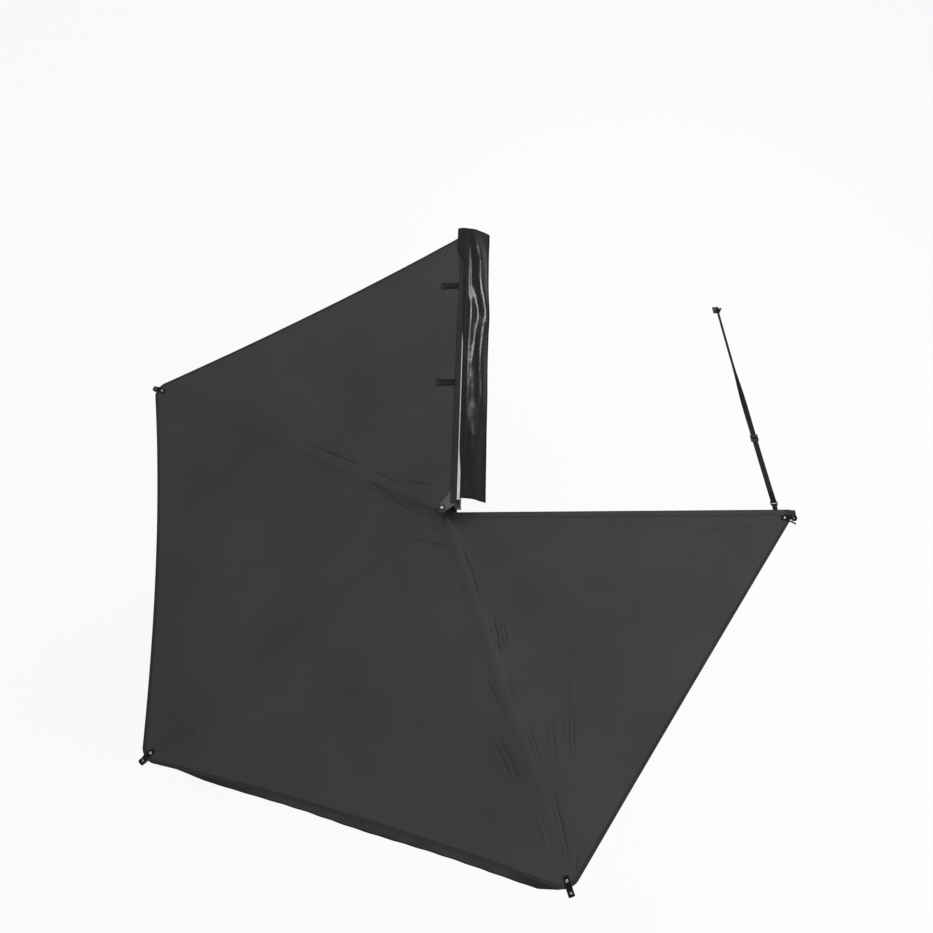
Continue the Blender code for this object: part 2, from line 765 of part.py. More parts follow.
def tip_mesh(peg_offset):
    """The cast end of a rafter: a fork for the leg, a nose with the canopy's peg, and two prongs.

    A peg beside the rail stands on an ear that reaches out from the nose."""
    face = RAIL_WIDTH / 2
    side = [
        (RAIL_END + FIT, 0.0),
        (RAIL_END + FIT, RAIL_HEIGHT),
        (TIP_SHOULDER, RAIL_HEIGHT),
        (TIP_NOSE_START, TIP_NOSE_TOP),
        (TIP_END - TIP_NOSE_CHAMFER, TIP_NOSE_TOP),
        (TIP_END, TIP_NOSE_TOP - TIP_NOSE_CHAMFER),
        (TIP_END, TIP_TOE_CHAMFER),
        (TIP_END - TIP_TOE_CHAMFER, 0.0),
    ]
    body = bevelled(extruded(side, -face, face, "X"), CAST_EDGE)
    cheek = LEG_RADIUS + SLACK
    fork = box(
        (-cheek, RAIL_END - 2 * TIP_PRONG, -CUT_PAST),
        (cheek, RAIL_END + TIP_FORK_END, RAIL_HEIGHT - TIP_BRIDGE),
    )
    steps = []
    if peg_offset:
        ear = box(
            (face - TIP_EAR_ROOT, TIP_NOSE_START, TIP_EAR_BASE),
            (peg_offset + TAB_WIDTH / 2, TIP_END - TIP_NOSE_CHAMFER, TIP_NOSE_TOP),
        )
        steps.append(("UNION", bevelled(ear, CAST_EDGE)))
    for way in (-1, 1):
        inner, outer = way * cheek / 2, way * (face - RAIL_BEAD - FIT)
        prong = box(
            (min(inner, outer), RAIL_END - TIP_PRONG, RAIL_WALL),
            (max(inner, outer), RAIL_END + TIP_PRONG_ROOT, TIP_PRONG_HEIGHT),
        )
        steps.append(("UNION", prong))
    steps.append(("DIFFERENCE", fork))
    pin_place = (LEG_PIVOT, LEG_AXIS_HEIGHT)
    pin_bore = rod(LEG_PIN_RADIUS + FIT, (-RAIL_WIDTH, *pin_place), (RAIL_WIDTH, *pin_place), sides=16)
    steps.append(("DIFFERENCE", pin_bore))
    spot = (peg_offset, PEG_PLACE)
    peg_top = TIP_NOSE_TOP + PEG_HEIGHT
    neck_top = peg_top - PEG_HEAD_HEIGHT / 2
    peg = rod(PEG_RADIUS, (*spot, TIP_NOSE_TOP - PEG_RADIUS), (*spot, neck_top), sides=16)
    head = rod(PEG_HEAD_RADIUS, (*spot, peg_top - PEG_HEAD_HEIGHT), (*spot, peg_top), sides=16)
    steps += [("UNION", peg), ("UNION", head)]
    return combined(body, steps)


def tab_mesh(peg_offset, canopy_top):
    """The webbing tab that pulls a canopy corner over the rafter's tip and hooks on its peg."""
    rest = canopy_top + 2 * FIT
    nose = TIP_NOSE_TOP + 2 * FIT + TAB_LIFT
    bend_start = TIP_SHOULDER + TAB_LIFT
    flat = bend_start - TAB_START
    places = [TAB_START + flat * step / TAB_FLAT_STEPS for step in range(TAB_FLAT_STEPS + 1)]
    heights = [rest] * len(places) + [nose, nose]
    places += [TIP_NOSE_START + TAB_LIFT, TAB_END]
    columns = len(places) - 1

    def place(u, v):
        index = round(v * columns)
        return Vector((peg_offset + (u - 0.5) * TAB_WIDTH, places[index], heights[index]))

    strip = sheet(place, 2, columns, TAB_THICKNESS)
    holes = []
    for along in (TAB_INNER_EYELET, PEG_PLACE):
        eyelet = rod(EYELET_RADIUS, (peg_offset, along, 0.0), (peg_offset, along, 2 * RAIL_HEIGHT), sides=16)
        holes.append(("DIFFERENCE", eyelet))
    return combined(strip, holes)


def build_rafters(awning, hub):
    rail = extruded(rail_outline(), RAIL_START, RAIL_END, "Y")
    knuckle = knuckle_mesh()
    pegs = [(0.0, RAIL_HEIGHT + CANOPY_THICKNESS)] * (RAFTER_COUNT - 1)
    pegs.append((SIDE_TAB_OFFSET, CANOPY_LAST_EDGE + CANOPY_THICKNESS))
    axes = []
    for n, angle in enumerate(SWING_ANGLES):
        name = f"arm_{n + 1}"
        axis = awning.axis(f"{name}_swing_axis", (0, 0, rail_base(n)), math.radians(angle), hub)
        awning.place(f"{name}_rail", rail, "grey_coated_aluminium", axis)
        awning.place(f"{name}_knuckle", knuckle, "grey_coated_aluminium", axis)
        awning.place(f"{name}_tip", tip_mesh(pegs[n][0]), "black_nylon", axis)
        awning.place(f"{name}_tension_tab", tab_mesh(*pegs[n]), "black_webbing", axis)
        axes.append(axis)
    return axes


# Legs, built along -Y from their hinge pin


def leg_tube_mesh():
    start = -LEG_EYE_REACH
    tube = rod(LEG_RADIUS, (0, start, 0), (0, -LEG_LENGTH, 0), sides=20)
    bore = rod(LEG_BORE, (0, start - LEG_PLUG, 0), (0, -LEG_LENGTH - CUT_PAST, 0), sides=20)
    eye = rod(LEG_EYE_RADIUS, (-LEG_RADIUS, 0, 0), (LEG_RADIUS, 0, 0), sides=20)
    wide, tall = LEG_RADIUS * 0.72, LEG_EYE_RADIUS * 0.8
    web = box((-wide, start - LEG_PLUG / 2, -tall), (wide, 0, tall))
    pin_hole = rod(LEG_PIN_RADIUS + FIT, (-RAIL_WIDTH, 0, 0), (RAIL_WIDTH, 0, 0), sides=16)
    return combined(
        tube,
        [("DIFFERENCE", bore), ("UNION", web), ("UNION", eye), ("DIFFERENCE", pin_hole)],
    )


def inner_tube_mesh():
    end = -LEG_LENGTH - LEG_INNER_SHOW
    tube = rod(LEG_INNER_RADIUS, (0, -LEG_INNER_TOP, 0), (0, end, 0), sides=20)
    radius = LEG_INNER_RADIUS - LEG_INNER_WALL
    bore = rod(radius, (0, CUT_PAST - LEG_INNER_TOP, 0), (0, end + LEG_INNER_FLOOR, 0), sides=16)
    return combined(tube, [("DIFFERENCE", bore)])


def collar_mesh():
    """The twist lock at the outer tube's mouth, with finger ribs round it."""
    top = -LEG_LENGTH + COLLAR_OVERLAP
    bottom = top - COLLAR_LENGTH
    outline = []
    for n in range(2 * COLLAR_RIBS):
        radius = COLLAR_RADIUS if n % 2 else COLLAR_RADIUS - COLLAR_RIB_DEPTH
        angle = math.pi * n / COLLAR_RIBS
        outline.append((radius * math.cos(angle), radius * math.sin(angle)))
    body = extruded(outline, bottom, top, "Y")
    wide = rod(LEG_RADIUS + FIT, (0, top + CUT_PAST, 0), (0, -LEG_LENGTH - FIT, 0), sides=20)
    narrow = rod(LEG_INNER_RADIUS + FIT, (0, top, 0), (0, bottom - CUT_PAST, 0), sides=20)
    return combined(body, [("DIFFERENCE", wide), ("DIFFERENCE", narrow)])


def foot_mesh():
    """A rubber cup over the inner tube's end, turned, with a ridged sole."""
    bore = LEG_INNER_RADIUS + FIT
    sole = FOOT_CUP - FOOT_LENGTH
    profile = [
        (bore, FOOT_CUP),
        (FOOT_RADIUS - 0.002, FOOT_CUP),
        (FOOT_RADIUS - 0.0012, FOOT_CUP - 0.004),
        (FOOT_RADIUS - 0.0012, sole + 0.009),
        (FOOT_RADIUS, sole + 0.006),
        (FOOT_RADIUS, sole),
        (FOOT_RADIUS * 0.72, sole),
        (FOOT_RADIUS * 0.62, sole + FOOT_SOLE),
        (FOOT_RADIUS * 0.40, sole + FOOT_SOLE),
        (FOOT_RADIUS * 0.30, sole),
        (0.0, sole),
    ]
    outer = turned([(0.0, 0.0), (bore, 0.0)] + profile, steps=16)
    seat = Matrix.Translation((0, -LEG_LENGTH - LEG_INNER_SHOW - FIT, 0))
    outer.transform(seat @ Matrix.Rotation(-math.pi / 2, 4, "X"))
    return weld(outer)


def build_legs(awning, axes):
    tube = leg_tube_mesh()
    inner = inner_tube_mesh()
    collar = collar_mesh()
    foot = foot_mesh()
    reach = RAIL_WIDTH / 2 - FIT
    pin = rod(LEG_PIN_RADIUS, (-reach, 0, 0), (reach, 0, 0), sides=16)
    for n, axis in enumerate(axes):
        name = f"leg_{n + 1}"
        hinge = awning.axis(f"{name}_fold_axis", (0, LEG_PIVOT, LEG_AXIS_HEIGHT), 0.0, axis)
        awning.place(f"{name}_hinge_pin", pin, "zinc_steel", axis, (0, LEG_PIVOT, LEG_AXIS_HEIGHT))
        awning.place(f"{name}_outer_tube", tube, "mill_aluminium", hinge)
        awning.place(f"{name}_lock_collar", collar, "black_nylon", hinge)
        awning.place(f"{name}_inner_tube", inner, "mill_aluminium", hinge)
        awning.place(f"{name}_foot", foot, "black_rubber", hinge)


# Canopy, in the hub's frame


def rafter_point(n, reach, across=0.0):
    """A point over rafter n at that distance from the pin; across is to its left seen outwards."""
    angle = math.radians(SWING_ANGLES[n])
    out = Vector((-math.sin(angle), math.cos(angle)))
    left = Vector((-out.y, out.x))
    return out * reach + left * across


def panel_edges(n, v):
    """The two ends of panel n's line at v, from the hub (0) to its outer edge (1), as X, Y and Z."""
    rest = RAIL_HEIGHT + FIT
    if n == 0:
        reach = CANOPY_PLATE_START + v * (CANOPY_FRONT_CORNER - CANOPY_PLATE_START)
        first = Vector((PIN_STANDOFF + PLATE_DEPTH * 0.18, reach, PLATE_TOP_Z + FIT))
    else:
        reach = CANOPY_INNER_RADIUS + v * (CANOPY_RADIUS - CANOPY_INNER_RADIUS)
        first = rafter_point(n - 1, reach, SLACK).to_3d()
        first.z = rail_base(n - 1) + rest
    reach = CANOPY_INNER_RADIUS + v * (CANOPY_RADIUS - CANOPY_INNER_RADIUS)
    if n == RAFTER_COUNT - 1:
        second = rafter_point(n, reach, -RAIL_WIDTH / 2 - FIT).to_3d()
        second.z = rail_base(n) + CANOPY_LAST_EDGE
    else:
        second = rafter_point(n, reach, -SLACK).to_3d()
        second.z = rail_base(n) + rest
    return first, second


def panel_point(n, u, v):
    """A point on the underside of canopy panel n; u runs from one rafter to the next."""
    first, second = panel_edges(n, v)
    span = (second - first).to_2d()
    length = span.length
    rest_first = min(HEM_WIDTH if n == 0 else RAIL_REST, REST_SHARE * length)
    rest_second = min(LAST_RAIL_REST if n == RAFTER_COUNT - 1 else RAIL_REST, REST_SHARE * length)
    spread = (1 - math.cos(math.pi * u)) / 2
    edge = 1.0 / PANEL_COLUMNS
    if u <= edge * 1.001:
        across = rest_first * u / edge
    elif u >= 1 - edge * 1.001:
        across = length - rest_second * (1 - u) / edge
    else:
        first_spread = (1 - math.cos(math.pi * edge)) / 2
        share = (spread - first_spread) / (1 - 2 * first_spread)
        across = rest_first + share * (length - rest_first - rest_second)
    free = length - rest_first - rest_second
    t = min(max((across - rest_first) / free, 0.0), 1.0)
    fall = 1 - (1 - t) ** 3
    height = first.z + (second.z - first.z) * fall
    height -= CANOPY_SAG * v * 4 * t * (1 - t)
    height -= crease(n, t * free, free * (1 - t), v)
    along = span.normalized()
    outward = Vector((along.y, -along.x))
    if outward.dot(first.to_2d() + second.to_2d()) < 0:
        outward = -outward
    bow = CANOPY_EDGE_BOW * v * v * 4 * t * (1 - t)
    flat = first.to_2d() + along * across - outward * bow
    return Vector((flat.x, flat.y, height))


def crease(n, from_first, from_second, v):
    """The tension crease beside each rafter, deepest half way out and along the third rafter."""
    depth = CANOPY_CREASE * math.sin(math.pi * min(v * 1.1, 1.0))
    strong = (0.35, 0.45, 1.0, 1.0)[n], (0.6, 0.5, 1.0, 0.3)[n]
    total = 0.0
    for distance, share in zip((from_first, from_second), strong):
        total += share * depth * distance / CREASE_VALLEY * math.exp(1 - distance / CREASE_VALLEY)
    return total


class Surface:
    """A finished sheet, asked for its height above an X and Y."""

    def __init__(self, mesh):
        work = bmesh.new()
        work.from_mesh(mesh)
        self.tree = BVHTree.FromBMesh(work)
        work.free()

    def height(self, x, y):
        hit = self.tree.ray_cast(Vector((x, y, 1.0)), Vector((0, 0, -1)))[0]
        return hit.z


def build_canopy(awning, hub):
    """The canopy's four panels; the first one's surface is given back for what lies on it."""
    surfaces = []
    for n in range(RAFTER_COUNT):
        mesh = sheet(
            lambda u, v, n=n: panel_point(n, u, v),
            PANEL_COLUMNS,
            PANEL_ROWS,
            CANOPY_THICKNESS,
            -1.0,
        )
        awning.place(f"canopy_panel_{n + 1}", mesh, "charcoal_canvas", hub)
        surfaces.append(Surface(mesh))
    return surfaces[0]


def flap_point(u, v):
    """A point on the front flap; v runs out and down from the canopy's edge."""
    n = 2
    edge_u = FLAP_START + u * (FLAP_END - FLAP_START)
    edge = panel_point(n, edge_u, 1.0)
    first, second = panel_edges(n, 1.0)
    along = (second - first).to_2d().normalized()
    outward = Vector((along.y, -along.x))
    if outward.dot(edge.to_2d()) < 0:
        outward = -outward
    taper = min(1.0, 0.10 + 2.6 * u) * min(1.0, 0.45 + 2.2 * (1 - u))
    width = FLAP_WIDTH * taper
    lean = math.radians(FLAP_LEAN) * min(1.0, 0.25 + 2.4 * u)
    wave = 0.006 * math.sin(7 * math.pi * u) * v * taper
    out = v * width * math.sin(lean) + wave - FLAP_INSET
    down = v * width * math.cos(lean) + 2 * FIT + SLACK
    flat = edge.to_2d() + outward * out
    return Vector((flat.x, flat.y, edge.z - down))


def build_flap(awning, hub):
    awning.place("front_flap", sheet(flap_point, FLAP_COLUMNS, 3, CANOPY_THICKNESS), "black_pvc", hub)


# Storage straps and the transit cover


def build_storage(awning, hub, canopy):
    """The two straps sewn to the canopy's hem, lying on the canopy, with their buckles."""
    half = STORAGE_STRAP_WIDTH / 2
    lift = 2 * FIT
    probes = (-STORAGE_STRAP_PROBE, 0, STORAGE_STRAP_PROBE)
    span = STORAGE_STRAP_START + STORAGE_STRAP_REACH
    for name, along in zip(("rear", "front"), STORAGE_STRAP_PLACES):
        spots = [STORAGE_STRAP_START - span * n / STORAGE_STRAP_STEPS for n in range(STORAGE_STRAP_STEPS + 1)]
        heights = [
            max(canopy.height(x + near, along + side) for near in probes for side in (-half, 0, half))
            for x in spots
        ]

        def place(u, v, spots=spots, heights=heights, along=along):
            n = round(v * STORAGE_STRAP_STEPS)
            return Vector((spots[n], along + (0.5 - u) * STORAGE_STRAP_WIDTH, heights[n] + lift))

        strap = sheet(place, 1, STORAGE_STRAP_STEPS, STORAGE_STRAP_THICKNESS, -1.0)
        awning.place(f"storage_strap_{name}", strap, "black_webbing", hub)
        start = -STORAGE_STRAP_REACH - FIT
        base = lift + max(
            canopy.height(start - near, along + side)
            for near in (0, STORAGE_BUCKLE_LENGTH / 2, STORAGE_BUCKLE_LENGTH)
            for side in (-half, 0, half)
        )
        awning.place(f"storage_buckle_{name}", storage_buckle(start, along, base), "black_nylon", hub)


def storage_buckle(start, along, base):
    """A flat buckle frame that the strap's end meets, with an opening for the webbing."""
    half = STORAGE_BUCKLE_WIDTH / 2
    frame = box(
        (start - STORAGE_BUCKLE_LENGTH, along - half, base),
        (start, along + half, base + STORAGE_BUCKLE_HEIGHT),
    )
    wall = STORAGE_BUCKLE_WALL
    window = box(
        (start - STORAGE_BUCKLE_LENGTH + wall, along - half + wall, base - CUT_PAST),
        (start - wall, along + half - wall, base + STORAGE_BUCKLE_HEIGHT + CUT_PAST),
    )
    return combined(bevelled(frame, CAST_EDGE), [("DIFFERENCE", window)])


def ramp(value, start, run):
    """0 before start, 1 past start and run, and smooth between."""
    share = min(max((value - start) / run, 0.0), 1.0)
    return share * share * (3 - 2 * share)


def cover_point(u, v):
    """A point on the opened cover; u runs back from the plate, v along it to the front.

    Its front half rises over the plate's top, laps onto it, and at the end laps onto the canopy."""
    start = HUB_REAR_SETBACK + COVER_REAR_INSET
    end = HUB_REAR_SETBACK + PLATE_LENGTH + COVER_END_OVERHANG
    along = start + v * (end - start)
    lift = ramp(along, COVER_LIFT_START, COVER_LIFT_RUN)
    lap = ramp(along, COVER_LIFT_START + COVER_LIFT_RUN, 2 * COVER_LIFT_RUN)
    end_lap = ramp(along, COVER_END_START, COVER_END_RUN)
    behind = PIN_STANDOFF + PLATE_DEPTH + COVER_THICKNESS + 2 * FIT
    near = behind - COVER_LAP * lap - COVER_END_LAP * end_lap
    rest = PLATE_TOP_Z + CANOPY_THICKNESS + 3 * FIT
    top = rest - COVER_SEAT_DROP * (1 - lift)
    far = behind + COVER_BEND
    if u < 1 / 3:
        return Vector((near + 3 * u * (far - near), along, top))
    share = (3 * u - 1) / 2
    fold = COVER_FOLD_DEPTH * share * math.sin(COVER_FOLDS * 2 * math.pi * v + 2.2 * share)
    fold += 0.5 * COVER_FOLD_DEPTH * share * math.sin(COVER_FOLDS * 5.2 * math.pi * v + 1.0)
    x = far + share * (COVER_REACH + 0.6 * fold)
    z = top - COVER_DROP * share ** 1.7 + fold
    return Vector((x, along + 0.3 * fold, z))


def build_cover(awning, hub):
    mesh = sheet(cover_point, COVER_COLUMNS, COVER_ROWS, COVER_THICKNESS)
    awning.place("transit_cover", mesh, "black_pvc", hub)


# Tie strap


def build_tie(awning, axes, hub):
    last = axes[-1]
    seat = -(RAIL_WIDTH / 2 + FIT)
    shelf = TIE_LUG_SHELF
    edge = -TIE_PIVOT_OFFSET - TIE_PIN_HEAD - TIE_LUG_EDGE
    side = [
        (seat, TIE_LUG_BASE),
        (seat, shelf),
        (edge, shelf),
        (edge, shelf - TIE_LUG_STOCK),
        (seat - TIE_LUG_STOCK, shelf - TIE_LUG_STOCK),
        (seat - TIE_LUG_STOCK, TIE_LUG_BASE),
    ]
    half = TIE_LUG_LENGTH / 2
    lug = extruded(side, TIE_PIVOT_REACH - half, TIE_PIVOT_REACH + half, "Y")
    spot = (-TIE_PIVOT_OFFSET, TIE_PIVOT_REACH)
    pin_top = shelf + TIE_LINK_THICKNESS + 2 * LAYER_GAP
    head_top = pin_top + TIE_PIN_HEAD_HEIGHT
    pin = rod(TIE_PIN_RADIUS, (*spot, shelf - TIE_LUG_STOCK / 2), (*spot, (pin_top + head_top) / 2), sides=16)
    head = rod(TIE_PIN_HEAD, (*spot, pin_top), (*spot, head_top), sides=16)
    awning.place("tie_lug", combined(lug, [("UNION", pin), ("UNION", head)]), "zinc_steel", last)

    pivot = rafter_point(RAFTER_COUNT - 1, TIE_PIVOT_REACH, TIE_PIVOT_OFFSET)
    level = rail_base(RAFTER_COUNT - 1) + shelf + LAYER_GAP
    tie = awning.axis("tie_swing_axis", (pivot.x, pivot.y, level), math.radians(TIE_HEADING), hub)
    awning.place("tie_link", tie_link_mesh(), "zinc_steel", tie)
    strap = sheet(tie_strap_point, 1, 24, TIE_STRAP_THICKNESS, 0.0)
    awning.place("tie_strap", strap, "black_webbing", tie)
    awning.place("tie_buckle", tie_buckle_mesh(), "black_nylon", tie)
    awning.place("tie_bracket", tie_bracket_mesh(), "zinc_steel", tie)


def tie_link_mesh():
    """A flat link: an eye on the lug's pin, and a slot for the webbing."""
    waist = TIE_PIN_RADIUS + TIE_EYE_WALL
    end = TIE_LINK_LENGTH - waist
    half = TIE_LINK_WIDTH / 2
    shoulder = end - TIE_LINK_SHOULDER
    turns = [math.radians(angle) for angle in range(180, 361, 30)]
    outline = [(waist * math.cos(angle), waist * math.sin(angle)) for angle in turns]
    outline += [(half, shoulder), (half, end), (-half, end), (-half, shoulder)]
    plate = extruded(outline, 0.0, TIE_LINK_THICKNESS, "Z")
    low, high = -CUT_PAST, TIE_LINK_THICKNESS + CUT_PAST
    slot_half = TIE_STRAP_WIDTH / 2 + SLACK
    slot_end = end - TIE_LINK_BAR
    eye = rod(TIE_PIN_RADIUS + FIT, (0, 0, low), (0, 0, high), sides=16)
    slot = box((-slot_half, slot_end - TIE_LINK_SLOT, low), (slot_half, slot_end, high))
    return combined(plate, [("DIFFERENCE", eye), ("DIFFERENCE", slot)])


def tie_centre(along):
    """The webbing's centreline height at a distance along the tie, with the sag of a taut strap."""
    share = (along - TIE_STRAP_START) / (TIE_LENGTH - TIE_STRAP_START)
    return TIE_LINK_THICKNESS / 2 - TIE_END_DROP * share - TIE_SAG * 4 * share * (1 - share)


def tie_strap_point(u, v):
    """A point on the webbing, flat at the link and buckle, and turned on edge at its far end."""
    along = TIE_STRAP_START + v * (TIE_LENGTH - TIE_STRAP_START)
    twist_start = TIE_BUCKLE_PLACE + TIE_TWIST_START
    twist = math.pi / 2 * ramp(along, twist_start, TIE_LENGTH - TIE_TWIST_END - twist_start)
    across = (0.5 - u) * TIE_STRAP_WIDTH
    return Vector((across * math.cos(twist), along, tie_centre(along) + across * math.sin(twist)))


def tie_buckle_mesh():
    """A slide buckle round the webbing."""
    middle = tie_centre(TIE_BUCKLE_PLACE)
    half_w, half_h, half_l = TIE_BUCKLE_WIDTH / 2, TIE_BUCKLE_HEIGHT / 2, TIE_BUCKLE_LENGTH / 2
    slot_half = TIE_STRAP_WIDTH / 2 + SLACK
    passage = TIE_STRAP_THICKNESS / 2 + 2 * SLACK
    body = box(
        (-half_w, TIE_BUCKLE_PLACE - half_l, middle - half_h),
        (half_w, TIE_BUCKLE_PLACE + half_l, middle + half_h),
    )
    through = box(
        (-slot_half, TIE_BUCKLE_PLACE - half_l - CUT_PAST, middle - passage),
        (slot_half, TIE_BUCKLE_PLACE + half_l + CUT_PAST, middle + passage),
    )
    window = box(
        (-slot_half, TIE_BUCKLE_PLACE + TIE_BUCKLE_BAR - TIE_BUCKLE_WINDOW, middle),
        (slot_half, TIE_BUCKLE_PLACE + TIE_BUCKLE_BAR, middle + TIE_BUCKLE_HEIGHT),
    )
    return combined(bevelled(body, CAST_EDGE), [("DIFFERENCE", through), ("DIFFERENCE", window)])


def tie_bracket_mesh():
    """The angle at the strap's far end: a slotted upright for the webbing and a foot with two holes."""
    seat = TIE_LENGTH + FIT
    middle = tie_centre(TIE_LENGTH)
    top = middle + TIE_BRACKET_HEIGHT / 2
    base = top - TIE_BRACKET_HEIGHT
    stock = TIE_BRACKET_STOCK
    half = TIE_BRACKET_WIDTH / 2
    angle = [
        (seat, base),
        (seat + TIE_BRACKET_FOOT, base),
        (seat + TIE_BRACKET_FOOT, base + stock),
        (seat + stock, base + stock),
        (seat + stock, top),
        (seat, top),
    ]
    slot_half = TIE_STRAP_WIDTH / 2 + SLACK
    slot = box(
        (TIE_SLOT_INSET - half, seat - CUT_PAST, middle - slot_half),
        (TIE_SLOT_INSET - half + TIE_SLOT_WIDTH, seat + stock + CUT_PAST, middle + slot_half),
    )
    steps = [("DIFFERENCE", slot)]
    for way in (-1, 1):
        spot = (way * TIE_HOLE_SPREAD / 2, seat + TIE_BRACKET_FOOT - TIE_HOLE_INSET)
        hole = rod(TIE_HOLE_RADIUS, (*spot, base - CUT_PAST), (*spot, base + stock + CUT_PAST), sides=16)
        steps.append(("DIFFERENCE", hole))
    return combined(extruded(angle, -half, half, "X"), steps)


def main():
    clear_scene()
    parts, guides = make_collections()
    awning = Awning(parts, guides, make_materials())
    hub = awning.axis("hub_axis", (HUB_X, HUB_Y, 0))
    build_plate(awning)
    build_brackets(awning)
    build_hub(awning, hub)
    axes = build_rafters(awning, hub)
    build_legs(awning, axes)
    canopy = build_canopy(awning, hub)
    build_flap(awning, hub)
    build_storage(awning, hub, canopy)
    build_cover(awning, hub)
    build_tie(awning, axes, hub)


main()
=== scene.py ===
import json
import math
import random

import bpy
import numpy as np
from mathutils import Matrix, Vector, noise
from mathutils.bvhtree import BVHTree


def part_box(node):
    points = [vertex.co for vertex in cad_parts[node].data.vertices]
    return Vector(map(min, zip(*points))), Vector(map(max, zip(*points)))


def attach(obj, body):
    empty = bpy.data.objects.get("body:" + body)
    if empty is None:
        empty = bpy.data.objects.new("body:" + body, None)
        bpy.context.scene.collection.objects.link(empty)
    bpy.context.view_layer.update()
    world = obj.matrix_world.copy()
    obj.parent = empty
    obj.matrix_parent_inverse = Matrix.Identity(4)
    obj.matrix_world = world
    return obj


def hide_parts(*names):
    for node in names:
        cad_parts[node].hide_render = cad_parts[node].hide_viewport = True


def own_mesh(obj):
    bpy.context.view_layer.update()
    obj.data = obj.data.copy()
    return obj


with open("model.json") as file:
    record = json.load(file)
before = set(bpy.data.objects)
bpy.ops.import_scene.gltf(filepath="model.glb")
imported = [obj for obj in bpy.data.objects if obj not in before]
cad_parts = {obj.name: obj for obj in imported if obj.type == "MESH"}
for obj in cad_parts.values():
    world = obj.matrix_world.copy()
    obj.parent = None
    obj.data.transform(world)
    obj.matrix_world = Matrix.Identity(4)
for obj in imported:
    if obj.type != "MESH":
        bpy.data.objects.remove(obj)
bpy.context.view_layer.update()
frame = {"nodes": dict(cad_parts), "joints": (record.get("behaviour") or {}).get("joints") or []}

# Looks of the fan awning. Metres, +Z up. The rafters turn about the hub. "Reach" is a distance out from the
# hub along a rafter, "across" runs to the rafter's left seen outwards, and "along" runs along the back plate.
JOINTS = {joint["name"]: joint for joint in frame["joints"]}
HUB = np.array(JOINTS["arm_1_swing"]["pos_m"][:2])
SWINGS = [math.radians(-JOINTS[f"arm_{k}_swing"]["range_deg"][0]) for k in (1, 2, 3, 4)]
RAIL_BASES = [JOINTS[f"arm_{k}_swing"]["pos_m"][2] for k in (1, 2, 3, 4)]
LAST = len(SWINGS) - 1
PLATE_LOW, PLATE_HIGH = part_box("back_plate")
PLATE_MIDDLE = (PLATE_LOW.z + PLATE_HIGH.z) / 2

# Sizes shared with the solids
GAP = 0.0003
RAIL_HALF = 0.019
RAIL_HEIGHT = 0.034
RAIL_END = 2.360
KEDER_INSET = 0.0043
KEDER_PLAY = 0.0007
BOLT_CHANNEL_OFFSET = 0.036
HUB_SETBACK = 0.062
PLATE_LENGTH = 2.400

# Canopy cloth
CANVAS = 0.0012
CANOPY_REACH = 2.395
CANOPY_FRONT = 2.412
CANOPY_START = 0.036
CANOPY_PLATE_START = 0.160
PLATE_EDGE = 0.0995
PLATE_BACK = 0.120
# How far each panel's outer edge draws in at its middle, and how far out it runs clear of its corners
EDGE_BOWS = (0.018, 0.034, 0.034, 0.0)
EDGE_EASE = 0.016
EDGE_EASE_RUN = 0.060
SAG = 0.016
# The valleys beside a panel's edges: their depth half way out, their width, how much sooner than the panel
# they run out, and each one's strength
VALLEY_DEPTH = 0.006
VALLEY_WIDTH = 0.060
VALLEY_PACE = 1.1
VALLEYS = ((0.35, 0.60), (0.45, 0.50), (1.0, 1.0), (1.0, 0.3))
# Width that lies flat on the plate, a rafter and the last rafter, and its greatest share of a panel
PLATE_REST = 0.033
RAIL_REST = 0.0245
LAST_REST = 0.004
REST_MOST = 0.35
# Folds begin at this share of a flat rest and are full after this run
REST_CLEAR = 0.8
REST_BLEND = 0.028
# Slow unevenness: height, waves in a metre and slice of the noise, and where it fades out at the outer edge
SWELLS = ((0.0028, 2.1, 0.4), (0.0012, 6.5, 2.3))
SWELL_END = 1.02
SWELL_FADE = 0.05
PANEL_ROWS = 132
# How far the fine grid reaches in from a panel's first and second edge, where its folds are
FINE_BANDS = ((0.10, 0.14), (0.14, 0.14), (0.16, 0.26), (0.47, 0.08))
FINE_MOST = 0.45
FINE_FEWEST = 3
FINE_STEP = 0.0065
COARSE_STEP = 0.024

